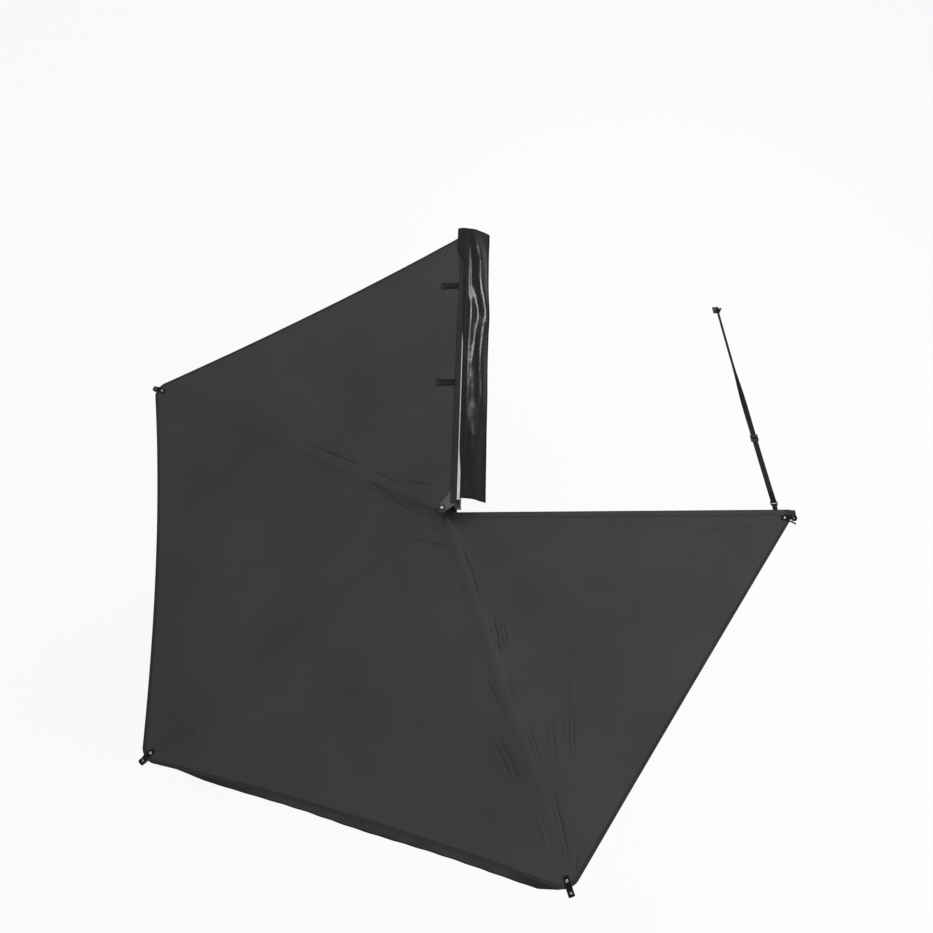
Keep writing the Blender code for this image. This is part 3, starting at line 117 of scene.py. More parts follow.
# Folds in the stretched canopy. Each row gives a rafter, then both ends as reach and across, how many lines
# lie side by side, how wide they spread, and their height.
FOLDS = (
    # Beside the third rafter, from the hub out to its corner
    (3, (0.27, 0.036), (0.68, 0.034), 1, 0.0, 0.0030),
    (3, (0.81, 0.11), (1.05, 0.07), 5, 0.090, 0.0034),
    (3, (1.14, -0.06), (1.39, -0.05), 4, 0.070, 0.0030),
    (3, (1.16, 0.05), (1.36, 0.03), 1, 0.0, 0.0026),
    (3, (1.46, -0.15), (1.80, -0.11), 4, 0.110, 0.0040),
    (3, (1.45, 0.05), (1.76, 0.05), 3, 0.045, 0.0034),
    (3, (1.46, 0.23), (1.78, 0.12), 3, 0.060, 0.0028),
    (3, (1.24, 0.43), (1.84, 0.20), 2, 0.028, 0.0038),
    (3, (1.48, 0.37), (1.73, 0.28), 1, 0.0, 0.0026),
    (3, (1.83, -0.045), (2.27, -0.034), 2, 0.022, 0.0034),
    (3, (1.91, 0.08), (2.28, 0.035), 1, 0.0, 0.0038),
    (3, (2.22, 0.10), (2.33, 0.05), 1, 0.0, 0.0026),
    # Round the hub
    (3, (0.17, -0.20), (0.28, -0.03), 2, 0.030, 0.0028),
    (2, (0.32, 0.03), (0.15, 0.13), 1, 0.0, 0.0026),
    (1, (0.35, -0.05), (0.08, -0.13), 2, 0.022, 0.0036),
    (1, (0.29, -0.28), (0.10, -0.20), 2, 0.030, 0.0022),
    (1, (0.27, 0.06), (0.12, 0.11), 2, 0.025, 0.0030),
    # Along the first rafter
    (1, (1.15, -0.036), (0.79, -0.040), 1, 0.0, 0.0026),
    (1, (1.00, -0.045), (0.60, -0.036), 2, 0.022, 0.0034),
    (1, (0.79, 0.05), (0.57, 0.034), 1, 0.0, 0.0028),
    (1, (0.61, 0.036), (0.15, 0.14), 2, 0.026, 0.0034),
    (1, (0.56, 0.055), (0.34, 0.040), 1, 0.0, 0.0030),
    (1, (0.60, -0.036), (0.32, -0.032), 1, 0.0, 0.0030),
    # Towards the corners
    (1, (2.26, 0.045), (1.64, 0.034), 1, 0.0, 0.0022),
    (1, (2.20, -0.034), (1.60, -0.036), 1, 0.0, 0.0022),
    (1, (2.10, 0.10), (1.80, 0.17), 2, 0.050, 0.0018),
    (2, (2.20, -0.07), (1.88, -0.12), 1, 0.0, 0.0014),
    (2, (2.22, 0.07), (1.80, 0.12), 1, 0.0, 0.0014),
    (4, (2.24, -0.07), (1.70, -0.12), 1, 0.0, 0.0016),
)
FOLD_SEED = 5
# Among lines side by side: how much each one moves aside, starts late or ends early, and differs in size
FOLD_JITTER = 0.1
FOLD_STAGGER = 0.2
FOLD_HALVES = (0.8, 1.15)
FOLD_HEIGHTS = (0.5, 1.0)
# A fold's half width, its bow for its length, its waver, and how it runs out past its ends
FOLD_HALF = 0.0120
FOLD_BEND = 0.012
FOLD_WAVER = 0.15
FOLD_WAVES = 11.0
FOLD_PAST = 0.12
FOLD_TAPER = 0.37
# The dips on both sides of its ridge: depth as a share of its height, and place in half widths
FOLD_DIPS = ((0.45, 1.7), (0.25, -1.9))
# The painted highlight on its ridge and the painted shade beside it, in half widths, and the height that
# paints them in full
RIDGE_HIGHLIGHT_STRENGTH = 0.6
RIDGE_HIGHLIGHT_HALF = 0.6
FOLD_SHADE_PLACE = 1.2
FOLD_SHADE_HALF = 0.55
FOLD_FULL_HEIGHT = 0.0036
MARK_GROWTH = 1.5

# Stitching. Real stitches are about 4 mm apart, and the hems' are drawn 6 mm apart so that they show. The
# short ones are for webbing, and the lift is how high a row lies over its cloth.
STITCH_PITCH = 0.006
STITCH_LENGTH = 0.0042
STITCH_WIDTH = 0.0011
STITCH_HEIGHT = 0.0008
SHORT_PITCH = 0.0042
SHORT_LENGTH = 0.0030
SHORT_WIDTH = 0.0010
STITCH_LIFT = 0.0008

# Hem round each panel's outer edge: its width, its rows as shares of that in from the edge, and how far it
# stands out past the edge and over the cloth
HEM = 0.020
HEM_SHARES = (1.0, 0.66, 0.33, 0.0)
HEM_OVERHANG = 0.0009
HEM_UNDER = 0.0005
HEM_OVER = 0.0006
HEM_COLUMNS = 240
# Its two rows of stitches: how far in from its edges, and their start, end and steps along the panel's edge
SEAM_INSET = 0.0035
SEAM_SHARES = (0.012, 0.988, 260)
# Distance from the hub to the middle of a panel's outer edge, about
EDGE_DEPTH = (CANOPY_REACH - CANOPY_START) * 0.84

# Seam tapes over the rafters
TAPE_HALF = 0.014
TAPE_THICKNESS = 0.0007
TAPE_START = CANOPY_START + 0.004
TAPE_EVEN_START = CANOPY_START + 0.02
TAPE_END = CANOPY_REACH - 0.001
TAPE_LIFT = 0.0002
TAPE_CROWN = 0.0003
TAPE_SEAM = 0.003
TAPE_STITCH_LIFT = 0.0009
# How far a hem's ends stay from the plate's edge, from a tape's middle and from the last rafter
HEM_FROM_PLATE = 0.3 * PLATE_REST
HEM_FROM_TAPE = TAPE_HALF + 0.001
HEM_FROM_END = 0.003

# Doubled edge of the first panel, along the plate
PLATE_HEM_START = 0.034
PLATE_HEM_END = CANOPY_FRONT - 0.004
PLATE_HEM_INNER = 0.058
PLATE_HEM_OUTER = 0.0995
PLATE_HEM_THICKNESS = 0.0009
PLATE_HEM_LIFT = 0.0003
PLATE_HEM_CROWN = 0.0004
PLATE_HEM_SEAMS = (PLATE_HEM_INNER + 0.003, PLATE_HEM_INNER + 0.009, PLATE_HEM_OUTER - 0.004)
PLATE_HEM_STITCH_LIFT = 0.0012

# Front flap. Its reach out past its chord grows from its start to its end.
FLAP_PANEL = 2
FLAP_START = 0.075
FLAP_END = 0.984
FLAP_WIDTH = 0.115
FLAP_THICKNESS = 0.0009
FLAP_PAST_CHORD = 0.019
FLAP_PAST_RISE = 0.027
FLAP_INSET = 0.012
FLAP_BELOW = 0.0012
# The share of its width at both ends, and how fast it grows from there
FLAP_TAPERS = ((0.10, 2.6), (0.12, 6.0))
# The least and the greatest sine of its lean from upright
FLAP_LEANS = (0.1, 0.95)
FLAP_WAVE = 0.0030
FLAP_WAVES = 5
FLAP_RIPPLE = 0.0010
FLAP_RIPPLES = 31
FLAP_HEM_ROWS = (0.90, 0.95, 1.0, 1.006)
FLAP_HEM_UNDER = 0.0004
FLAP_HEM_OVER = 0.0014
# Its row of stitches: how far down it, and the row's start, end and steps along it
FLAP_SEAM = 0.915
FLAP_SEAM_RUN = (0.01, 0.99, 200)

# Webbing tabs at the canopy's corners
TAB_HALF = 0.0165
TAB_THICKNESS = 0.0016
TAB_START = 2.326
TAB_END = 2.431
TAB_EYELETS = (2.352, 2.416)
SIDE_TAB = 0.0395
TIP_SHOULDER = 2.3965
TIP_NOSE = 2.406
TIP_NOSE_TOP = 0.023
TAB_OVER_CANVAS = 0.0013
TAB_OVER_NOSE = 0.0016
# Its rows over the canopy, over the tip's shoulder and over its nose: from, to and how many
TAB_RUNS = (
    (TAB_START, TIP_SHOULDER - 0.001, 20),
    (TIP_SHOULDER + 0.001, TIP_NOSE + 0.002, 9),
    (TIP_NOSE + 0.004, TAB_END + 0.006, 8),
)
TAB_FOOT = TIP_NOSE + 0.001
TAB_NARROWING = 0.30
TAB_NARROW_START = TAB_END - 0.008
TAB_NARROW_RUN = 0.016
# The length that its sewn box takes up
TAB_BOX = (TAB_START + 0.003, TAB_START + 0.016)
TAB_BOX_HALF = TAB_HALF - 0.004
TAB_SEAM_HALF = TAB_HALF - 0.003
TAB_SEAM = (TAB_BOX[1] + 0.006, TIP_SHOULDER - 0.002, 12)
TAB_STITCH_LIFT = 0.0002
# The last tab's loose end: where it starts and ends, by reach and across
TAIL_START = (2.352, -0.052)
TAIL_END = (2.424, -0.083)
TAIL_HALF = 0.006
TAIL_TOP = RAIL_HEIGHT - 0.0010
TAIL_DROP = 0.016
TAIL_THICKNESS = 0.0012

# Storage straps, by their distance from the hub along the plate
STRAP_PLACES = (1.007, 1.902)
STRAP_HALF = 0.025
STRAP_THICKNESS = 0.0016
STRAP_START = 0.059
STRAP_REACH = 0.046
STRAP_STEPS = 40
# How far round it the canopy's height is felt for, and how many steps its own height is eased over
STRAP_FEEL = 0.004
STRAP_EASE = 5
BINDING_EDGES = (STRAP_HALF - 0.010, STRAP_HALF - 0.005, STRAP_HALF + 0.0006)
BINDING_UNDER = 0.0002
BINDING_OVER = 0.0006
STRAP_SEAM = STRAP_HALF - 0.0075
STRAP_PITCH = 0.0045
STRAP_STITCH = 0.0031
# The bar across a strap where it comes out from under the plate's hem
STRAP_BAR_STEPS = 5
STRAP_BAR_HALF = STRAP_HALF - 0.004
STRAP_BAR_OVER = 0.0010

# Opened transit cover. Each lap gives where it starts and how long it takes along the plate, and how far the
# cover's near edge then comes over the plate.
COVER_THICKNESS = 0.0012
COVER_START = 0.010
COVER_END = 0.035
COVER_REACH = 0.170
COVER_DROP = 0.085
COVER_FALL = 1.7
COVER_FIRST_LAP_START = 0.240
COVER_FIRST_LAP_RUN = 0.250
COVER_FIRST_LAP = 0.013
COVER_LAP_START = 1.330
COVER_LAP_RUN = 0.300
COVER_LAP = 0.028
COVER_END_START = 2.120
COVER_END_RUN = 0.160
COVER_END_LAP = 0.055
COVER_LIFT = 0.0014
COVER_OVERHANG = 0.006
COVER_ROLL = 0.08
# Where each long fold starts and ends along the plate, its place across at both, its width and its height
COVER_FOLDS = (
    (0.08, 0.66, 0.42, 0.55, 0.22, 0.007),
    (0.80, 1.60, 0.68, 0.78, 0.26, 0.013),
    (1.58, 2.42, 0.98, 0.34, 0.26, 0.014),
)
# How slowly a fold fades at its ends, its drift across, and the dips on both sides of it
COVER_FOLD_FADE = 0.22
COVER_FOLD_DRIFT = 0.05
COVER_FOLD_DRIFTS = 9
COVER_FOLD_DIP = 0.5
COVER_DIP_PLACE = 1.6
COVER_DIP_FALL = 1.6
# How far a fold carries the cloth out and along, for its height
COVER_FOLD_OUT = 0.6
COVER_FOLD_ALONG = 0.3
COVER_RUMPLE = 0.004
COVER_CRINKLE = 0.0009
COVER_LOOSE = 5
# The binding of its far edge and the stitches in that: each one's place across, and its start, end and steps
COVER_EDGE_ROWS = (0.955, 0.975, 0.998, 1.003)
COVER_EDGE_RUN = (0.002, 0.998, 380)
COVER_EDGE_UNDER = 0.0005
COVER_EDGE_OVER = 0.0006
COVER_SEAM = 0.962
COVER_SEAM_RUN = (0.004, 0.996, 400)
COVER_STITCH_LIFT = 0.0007

# Tie strap
TIE_HEADING = 6.26
TIE_HALF = 0.019
TIE_THICKNESS = 0.0024
TIE_LENGTH = 1.694
TIE_START = 0.0373
TIE_SAG = 0.012
TIE_DROP = 0.022
TIE_TWIST_START = 0.580
TIE_TWIST_RUN = 0.620
# Its lap: under the link, round the link's bar, and back over the webbing to where it is sewn down
TIE_LINK = 0.004
TIE_BAR = 0.0335
TIE_UNDER = ((TIE_BAR + 0.0165, -0.0003), (TIE_BAR + 0.008, -0.0011))
TIE_LOOP_REACH = 0.0058
TIE_LOOP_RISE = 0.0036
TIE_LAP_START = TIE_BAR + 0.006
TIE_LAP_END = 0.112
TIE_LAP_THICKNESS = 0.0018
TIE_LAP_LIFT = 0.0023
TIE_SETTLE = 0.0013
TIE_SETTLE_START = TIE_BAR + 0.004
TIE_SETTLE_RUN = 0.012
TIE_BOX = (TIE_START + 0.016, TIE_LAP_END - 0.006)
TIE_BOX_HALF = TIE_HALF - 0.004
TIE_STITCH_LIFT = 0.0002

# Screws and bolts
FLANGE_FACE = HUB[0] + 0.095 - GAP - 0.006
FLANGE_BOLTS = (0.060, 0.122)
BRACKET_FACE = -0.050
BRACKET_BOLTS = (-0.880, 0.0, 0.880)
CAP_FACE = PLATE_LENGTH / 2 + GAP + 0.006
CAP_SCREW_DEPTH = 0.012
CAP_SCREW_RISE = 0.062
RAFTER_SCREWS = (0.078, 0.118, RAIL_END - 0.045, RAIL_END - 0.018)
RAFTER_SCREW_HEIGHT = 0.012
LUG_REACH = 2.302
LUG_SCREW_APART = 0.010
LUG_FACE = RAIL_HALF + 0.0033
LUG_SCREW_HEIGHT = 0.011
SCREW = {"head_radius": 0.0038, "head_height": 0.0020, "washer_radius": 0.0048, "washer_height": 0.0007}

# Wear washer round the pivot bolt's head: its base, a little under the head's, and its outline as radius and
# height
BOLT_HEAD_BASE = 0.1428
WASHER_BASE = BOLT_HEAD_BASE - 0.0002
WASHER_INNER = 0.0116
WASHER_OUTER = 0.0245
WASHER_TALL = 0.0030
WASHER_OUTLINE = (
    (WASHER_INNER, 0),
    (WASHER_OUTER, 0),
    (WASHER_OUTER, 0.6 * WASHER_TALL),
    (WASHER_OUTER - 0.0012, WASHER_TALL),
    (WASHER_INNER + 0.0008, WASHER_TALL),
    (WASHER_INNER, 0.8 * WASHER_TALL),
)

# Edges sharper than this stay sharp, in degrees: on cloth, and on the washer
CLOTH_SHARP = 55
WASHER_SHARP = 40
# Keeps a normal of no length from dividing by nothing
TINY = 1e-12

# Painted shade in the depth of a crease
CREASE_SHADE = "1a1a19"
# Spacing of the drawn threads of canvas, and of the ribs of webbing
THREAD_PITCH = 0.0030
RIB_PITCH = 0.0016
# The share of webbing's waves across its ribs
RIB_CROSSING = 0.35
# How far each of these moves a finish from its own tone towards its paler one
SLUB_TONE = 0.22
THREAD_TONE = 0.05
# On a fold this paints a highlight along its ridge and a little shade beside it
CREASE_PAINTED_LIGHT = 0.12
RIB_TONE = 0.15
DIE_LINE_TONE = 0.25

# The finish of each solid that stays, by the first of these words in its name. The two that differ for each
# rafter, because their lines run along it, take its number too.
SOLID_FINISHES = (
    ("rail", "coated"),
    ("knuckle", "coated"),
    ("tube", "tube"),
    ("back_plate", "mill"),
    ("hub_bracket", "hub_coat"),
    ("foot", "rubber"),
    ("tip", "nylon"),
    ("cap", "nylon"),
    ("buckle", "nylon"),
    ("collar", "nylon"),
    ("tie_link", "black_steel"),
    ("tie_lug", "black_steel"),
    ("tie_bracket", "black_steel"),
)
RAFTER_FINISHES = ("coated", "tube")

# Camera and studio
CAMERA_PLACE = (0.2287, -3.1389, 4.7891)
CAMERA_AZIMUTH = -6.341
CAMERA_DOWN = 64.615
CAMERA_ROLL = 5.431
CAMERA_LENS = 28.23
CAMERA_SENSOR = 36.0
CAMERA_FAR = 200.0
FLOOR_LEVEL = -2.25
FLOOR_HALF = 45.0
# The share of plain white in the floor as it is seen; the rest takes light and shadow
FLOOR_GLOW = 0.90
WORLD_STRENGTH = 0.46
# Each softbox: its place, the point that it faces, its width and its power
SOFTBOXES = (
    ("key_softbox", (5.4, -4.6, 4.4), (0.2, -1.8, 0.0), 1.9, 225.0),
    ("back_softbox", (3.3, 4.3, 4.3), (0.0, 0.4, 0.0), 1.5, 165.0),
    ("fill_softbox", (-6.0, 1.5, 5.0), (-0.6, -1.4, 0.0), 5.0, 45.0),
)


def srgb(value):
    """A hex colour such as 3d3d3b, as linear red, green, blue and alpha."""
    parts = [int(value[n : n + 2], 16) / 255 for n in (0, 2, 4)]
    return tuple(p / 12.92 if p <= 0.04045 else ((p + 0.055) / 1.055) ** 2.4 for p in parts) + (1.0,)


def add(tree, kind, inputs=None, **settings):
    """A node with its settings. Each input takes a value, an output, or another node's first output."""
    made = tree.nodes.new(kind)
    for name, value in settings.items():
        setattr(made, name, value)
    for name, value in (inputs or {}).items():
        if isinstance(value, bpy.types.Node):
            value = value.outputs[0]
        if isinstance(value, bpy.types.NodeSocket):
            tree.links.new(value, made.inputs[name])
        else:
            made.inputs[name].default_value = value
    return made


def smooth_step(value):
    """From 0 to 1 over the same range of the value, with a gentle start and end."""
    share = np.clip(value, 0.0, 1.0)
    return share * share * (3 - 2 * share)


def ramp(value, start, run):
    """A smooth step from a start, over a run."""
    return smooth_step((value - start) / run)


def hump(value, place=0.0, half=1.0):
    """A smooth hump of height 1 about a place."""
    return np.exp(-(((value - place) / half) ** 2))


# Camera, floor and light


def build_camera():
    """The camera at the photograph's viewing angle."""
    azimuth = math.radians(CAMERA_AZIMUTH)
    down = math.radians(CAMERA_DOWN)
    ahead = Vector((math.cos(down) * math.sin(azimuth), math.cos(down) * math.cos(azimuth), -math.sin(down)))
    right = ahead.cross(Vector((0, 0, 1))).normalized()
    right = Matrix.Rotation(math.radians(CAMERA_ROLL), 3, ahead) @ right
    up = right.cross(ahead)
    data = bpy.data.cameras.new("studio_camera")
    data.lens = CAMERA_LENS
    data.sensor_width = CAMERA_SENSOR
    data.clip_end = CAMERA_FAR
    camera = bpy.data.objects.new("studio_camera", data)
    bpy.context.scene.collection.objects.link(camera)
    turn = Matrix((right, up, -ahead)).transposed().to_4x4()
    camera.matrix_world = Matrix.Translation(CAMERA_PLACE) @ turn
    bpy.context.scene.camera = camera


def build_floor():
    """The wide floor that the awning is seen against, well below it."""
    mesh = bpy.data.meshes.new("studio_floor")
    signs = ((-1, -1), (1, -1), (1, 1), (-1, 1))
    corners = [(x * FLOOR_HALF, y * FLOOR_HALF, FLOOR_LEVEL) for x, y in signs]
    mesh.from_pydata(corners, [], [(0, 1, 2, 3)])
    floor = bpy.data.objects.new("studio_floor", mesh)
    bpy.context.scene.collection.objects.link(floor)
    mesh.materials.append(floor_paper())


def build_softboxes():
    """Round lamps that light the canopy from three sides."""
    for name, place, aim, size, power in SOFTBOXES:
        light = bpy.data.lights.new(name, "AREA")
        light.shape = "DISK"
        light.size = size
        light.energy = power
        lamp = bpy.data.objects.new(name, light)
        bpy.context.scene.collection.objects.link(lamp)
        lamp.location = place
        lamp.rotation_euler = (Vector(aim) - Vector(place)).to_track_quat("-Z", "Y").to_euler()


def build_world():
    """Even light from all round, which is plain white where it is seen."""
    world = bpy.data.worlds.new("studio")
    bpy.context.scene.world = world
    world.use_nodes = True
    tree = world.node_tree
    tree.nodes.clear()
    dim = add(tree, "ShaderNodeBackground", {"Color": srgb("f4f6fa"), "Strength": WORLD_STRENGTH})
    white = add(tree, "ShaderNodeBackground", {"Color": (1, 1, 1, 1), "Strength": 1.0})
    mix = add(tree, "ShaderNodeMixShader", {0: direct_view(tree), 1: dim, 2: white})
    add(tree, "ShaderNodeOutputWorld", {"Surface": mix})
    bpy.context.scene.view_settings.view_transform = "Standard"


def direct_view(tree):
    """1 where the camera sees a surface itself, in a gloss or through glass, and 0 where it lights others."""
    path = add(tree, "ShaderNodeLightPath")
    seen = path.outputs["Is Camera Ray"]
    for ray in ("Is Glossy Ray", "Is Transmission Ray"):
        seen = add(tree, "ShaderNodeMath", {0: seen, 1: path.outputs[ray]}, operation="MAXIMUM").outputs[0]
    return seen


def floor_paper():
    """Matt white background paper. Seen directly it is nearly plain white, and it still takes a faint
    shadow."""
    made, tree, shader = finish("background_paper", "fafafa", 0.9)
    share = add(tree, "ShaderNodeMath", {0: direct_view(tree), 1: FLOOR_GLOW}, operation="MULTIPLY")
    glow = add(tree, "ShaderNodeEmission", {"Color": (1, 1, 1, 1), "Strength": 1.0})
    mix = add(tree, "ShaderNodeMixShader", {0: share, 1: shader, 2: glow})
    tree.links.new(mix.outputs[0], tree.nodes["Material Output"].inputs["Surface"])
    return made


# Finishes


def finish(name, colour, roughness, **values):
    """A material, its node tree and its shader, with the plain values of the shader's own sockets."""
    made = bpy.data.materials.new(name)
    made.use_nodes = True
    shader = made.node_tree.nodes["Principled BSDF"]
    shader.inputs["Base Color"].default_value = srgb(colour)
    shader.inputs["Roughness"].default_value = roughness
    for socket, value in values.items():
        shader.inputs[socket.replace("_", " ")].default_value = value
    return made, made.node_tree, shader


def relief(tree, shader, *layers):
    """Bump layers over one another, each a height and its depth in metres."""
    below = None
    for height, depth in layers:
        bump = add(tree, "ShaderNodeBump", {"Height": height, "Distance": depth, "Strength": 1.0})
        if below:
            tree.links.new(below, bump.inputs["Normal"])
        below = bump.outputs["Normal"]
    tree.links.new(below, shader.inputs["Normal"])


def thread_waves(tree, pitch_across, pitch_along):
    """Waves across and along the flat cloth, at the spacings of its threads."""
    uv = add(tree, "ShaderNodeUVMap", uv_map="cut")
    rates = (2 * math.pi / pitch_across, 2 * math.pi / pitch_along)
    turns = add(tree, "ShaderNodeVectorMath", {0: uv, 1: (*rates, 0)}, operation="MULTIPLY")
    waves = add(tree, "ShaderNodeVectorMath", {0: turns}, operation="SINE")
    return add(tree, "ShaderNodeSeparateXYZ", {0: waves}).outputs


def canvas(name, colour, worn):
    """Polyester and cotton canvas, plain woven and proofed: matt, with a faint sheen of fibre. On a fold it
    takes a painted highlight along the ridge and painted shade beside it. Its threads are 0.6 mm apart; drawn
    3 mm apart so that they show."""
    cloth = {"Sheen_Weight": 0.04, "Sheen_Roughness": 0.45, "Specular_IOR_Level": 0.14}
    made, tree, shader = finish(name, colour, 0.82, **cloth)
    across, along, _ = thread_waves(tree, THREAD_PITCH, THREAD_PITCH)
    weave = add(tree, "ShaderNodeMath", {0: across, 1: along}, operation="MULTIPLY")
    place = add(tree, "ShaderNodeTexCoord").outputs["Object"]
    cloud = add(tree, "ShaderNodeTexNoise", {"Vector": place, "Scale": 1.7, "Detail": 5.0})
    slub = add(tree, "ShaderNodeTexNoise", {"Vector": place, "Scale": 60.0, "Detail": 4.0})
    pucker = add(tree, "ShaderNodeTexNoise", {"Vector": place, "Scale": 14.0, "Detail": 3.0})
    crease = add(tree, "ShaderNodeAttribute", attribute_name="crease").outputs["Fac"]
    clouded = {"Value": cloud, "From Min": 0.25, "From Max": 0.75, "To Max": 0.30}
    tone = add(tree, "ShaderNodeMapRange", clouded)
    grain = add(tree, "ShaderNodeMath", {0: slub, 1: SLUB_TONE, 2: tone}, operation="MULTIPLY_ADD")
    woven = add(tree, "ShaderNodeMath", {0: weave, 1: THREAD_TONE, 2: grain}, operation="MULTIPLY_ADD")
    # A fold's painted highlight, towards the paler tone, which also carries the cloth's real slubs and clouds
    painted_fold_light = {0: crease, 1: CREASE_PAINTED_LIGHT, 2: woven}
    share = add(tree, "ShaderNodeMath", painted_fold_light, operation="MULTIPLY_ADD", use_clamp=True)
    tint = add(tree, "ShaderNodeMix", {0: share, 6: srgb(colour), 7: srgb(worn)}, data_type="RGBA").outputs[2]
    # A fold's painted shade, towards CREASE_SHADE
    deep = {"Value": crease, "From Min": 0.0, "From Max": -1.0, "To Max": 0.62}
    shade = add(tree, "ShaderNodeMapRange", deep)
    folded = add(tree, "ShaderNodeMix", {0: shade, 6: tint, 7: srgb(CREASE_SHADE)}, data_type="RGBA")
    tree.links.new(folded.outputs[2], shader.inputs["Base Color"])
    relief(tree, shader, (pucker, 0.0016), (weave, 0.00010))
    return made


def coated_cloth(name, colour, worn, roughness, gloss, emboss):
    """PVC coated polyester: a smooth skin that gives sharp, broken highlights, with ripples from folding. Its
    embossed leather grain is about 1 mm across; drawn 2.4 mm across so that it shows."""
    made, tree, shader = finish(name, colour, roughness, Specular_IOR_Level=gloss)
    place = add(tree, "ShaderNodeTexCoord").outputs["Object"]
    grain = add(tree, "ShaderNodeTexVoronoi", {"Vector": place, "Scale": 420.0}, feature="SMOOTH_F1")
    ripple = add(tree, "ShaderNodeTexNoise", {"Vector": place, "Scale": 17.0, "Detail": 4.0})
    dust = add(tree, "ShaderNodeTexNoise", {"Vector": place, "Scale": 6.0, "Detail": 6.0})
    dusty = {"Value": dust, "From Min": 0.45, "From Max": 0.80, "To Max": 0.5}
    share = add(tree, "ShaderNodeMapRange", dusty)
    tint = add(tree, "ShaderNodeMix", {0: share, 6: srgb(colour), 7: srgb(worn)}, data_type="RGBA")
    tree.links.new(tint.outputs[2], shader.inputs["Base Color"])
    dull = roughness + 0.18
    dulled = {"Value": dust, "From Min": 0.3, "From Max": 0.8, "To Min": roughness, "To Max": dull}
    rough = add(tree, "ShaderNodeMapRange", dulled)
    tree.links.new(rough.outputs[0], shader.inputs["Roughness"])
    relief(tree, shader, (ripple, 0.0012), (grain, emboss))
    return made


def webbing(name, colour, worn):
    """Woven polyester webbing: ribs across it every 1.6 mm, matt, with fuzz and a faint sheen of fibre."""
    cloth = {"Sheen_Weight": 0.03, "Sheen_Roughness": 0.4, "Specular_IOR_Level": 0.10}
    made, tree, shader = finish(name, colour, 0.80, **cloth)
    across, along, _ = thread_waves(tree, 2 * RIB_PITCH, RIB_PITCH)
    ribs = add(tree, "ShaderNodeMath", {0: across, 1: RIB_CROSSING, 2: along}, operation="MULTIPLY_ADD")
    place = add(tree, "ShaderNodeTexCoord").outputs["Object"]
    fuzz = add(tree, "ShaderNodeTexNoise", {"Vector": place, "Scale": 90.0, "Detail": 5.0})
    ribbed = {0: ribs, 1: RIB_TONE, 2: fuzz}
    share = add(tree, "ShaderNodeMath", ribbed, operation="MULTIPLY_ADD", use_clamp=True)
    tint = add(tree, "ShaderNodeMix", {0: share, 6: srgb(colour), 7: srgb(worn)}, data_type="RGBA")
    tree.links.new(tint.outputs[2], shader.inputs["Base Color"])
    relief(tree, shader, (ribs, 0.00022), (fuzz, 0.0003))
    return made


def extruded_metal(name, colour, worn, roughness, turn, metallic, depth, gloss=0.5):
    """Extruded or drawn aluminium: fine die lines run along it, with handling scuffs. Powder coat softens the
    lines to a satin skin with orange peel; bare metal keeps them as streaks in the gloss."""
    made, tree, shader = finish(name, colour, roughness, Metallic=metallic, Specular_IOR_Level=gloss)
    place = add(tree, "ShaderNodeTexCoord").outputs["Object"]
    along = add(tree, "ShaderNodeMapping", {"Vector": place, "Rotation": (0, 0, -turn)})
    drawn = add(tree, "ShaderNodeMapping", {"Vector": along, "Scale": (700.0, 1.2, 700.0)})
    lines = add(tree, "ShaderNodeTexNoise", {"Vector": drawn, "Scale": 1.0, "Detail": 2.0})
    peel = add(tree, "ShaderNodeTexNoise", {"Vector": place, "Scale": 520.0, "Detail": 2.0})
    scuff = add(tree, "ShaderNodeTexNoise", {"Vector": place, "Scale": 9.0, "Detail": 7.0})
    scuffed = {"Value": scuff, "From Min": 0.50, "From Max": 0.75, "To Max": 0.55}
    share = add(tree, "ShaderNodeMapRange", scuffed)
    lined = {0: lines, 1: DIE_LINE_TONE, 2: share}
    streak = add(tree, "ShaderNodeMath", lined, operation="MULTIPLY_ADD", use_clamp=True)
    tint = add(tree, "ShaderNodeMix", {0: streak, 6: srgb(colour), 7: srgb(worn)}, data_type="RGBA")
    tree.links.new(tint.outputs[2], shader.inputs["Base Color"])
    streaked = {"To Min": roughness - 0.06, "To Max": roughness + 0.08}
    rough = add(tree, "ShaderNodeMapRange", {"Value": lines, "From Min": 0.3, "From Max": 0.7, **streaked})
    tree.links.new(rough.outputs[0], shader.inputs["Roughness"])
    relief(tree, shader, (lines, depth), (peel, depth))
    return made


def zinc_plate(name, colour, worn, roughness):
    """Zinc plated and passivated steel: a dull gloss with faint clouds, yellowish on silver and grey on
    black. Nickel plated brass is brighter and more even."""
    made, tree, shader = finish(name, colour, roughness, Metallic=1.0)
    place = add(tree, "ShaderNodeTexCoord").outputs["Object"]
    cloud = add(tree, "ShaderNodeTexNoise", {"Vector": place, "Scale": 38.0, "Detail": 4.0})
    pits = add(tree, "ShaderNodeTexNoise", {"Vector": place, "Scale": 900.0, "Detail": 2.0})
    tint = add(tree, "ShaderNodeMix", {0: cloud, 6: srgb(colour), 7: srgb(worn)}, data_type="RGBA")
    tree.links.new(tint.outputs[2], shader.inputs["Base Color"])
    clouded = {"To Min": roughness - 0.08, "To Max": roughness + 0.12}
    rough = add(tree, "ShaderNodeMapRange", {"Value": cloud, "From Min": 0.3, "From Max": 0.7, **clouded})
    tree.links.new(rough.outputs[0], shader.inputs["Roughness"])
    relief(tree, shader, (pits, 0.00005))
    return made


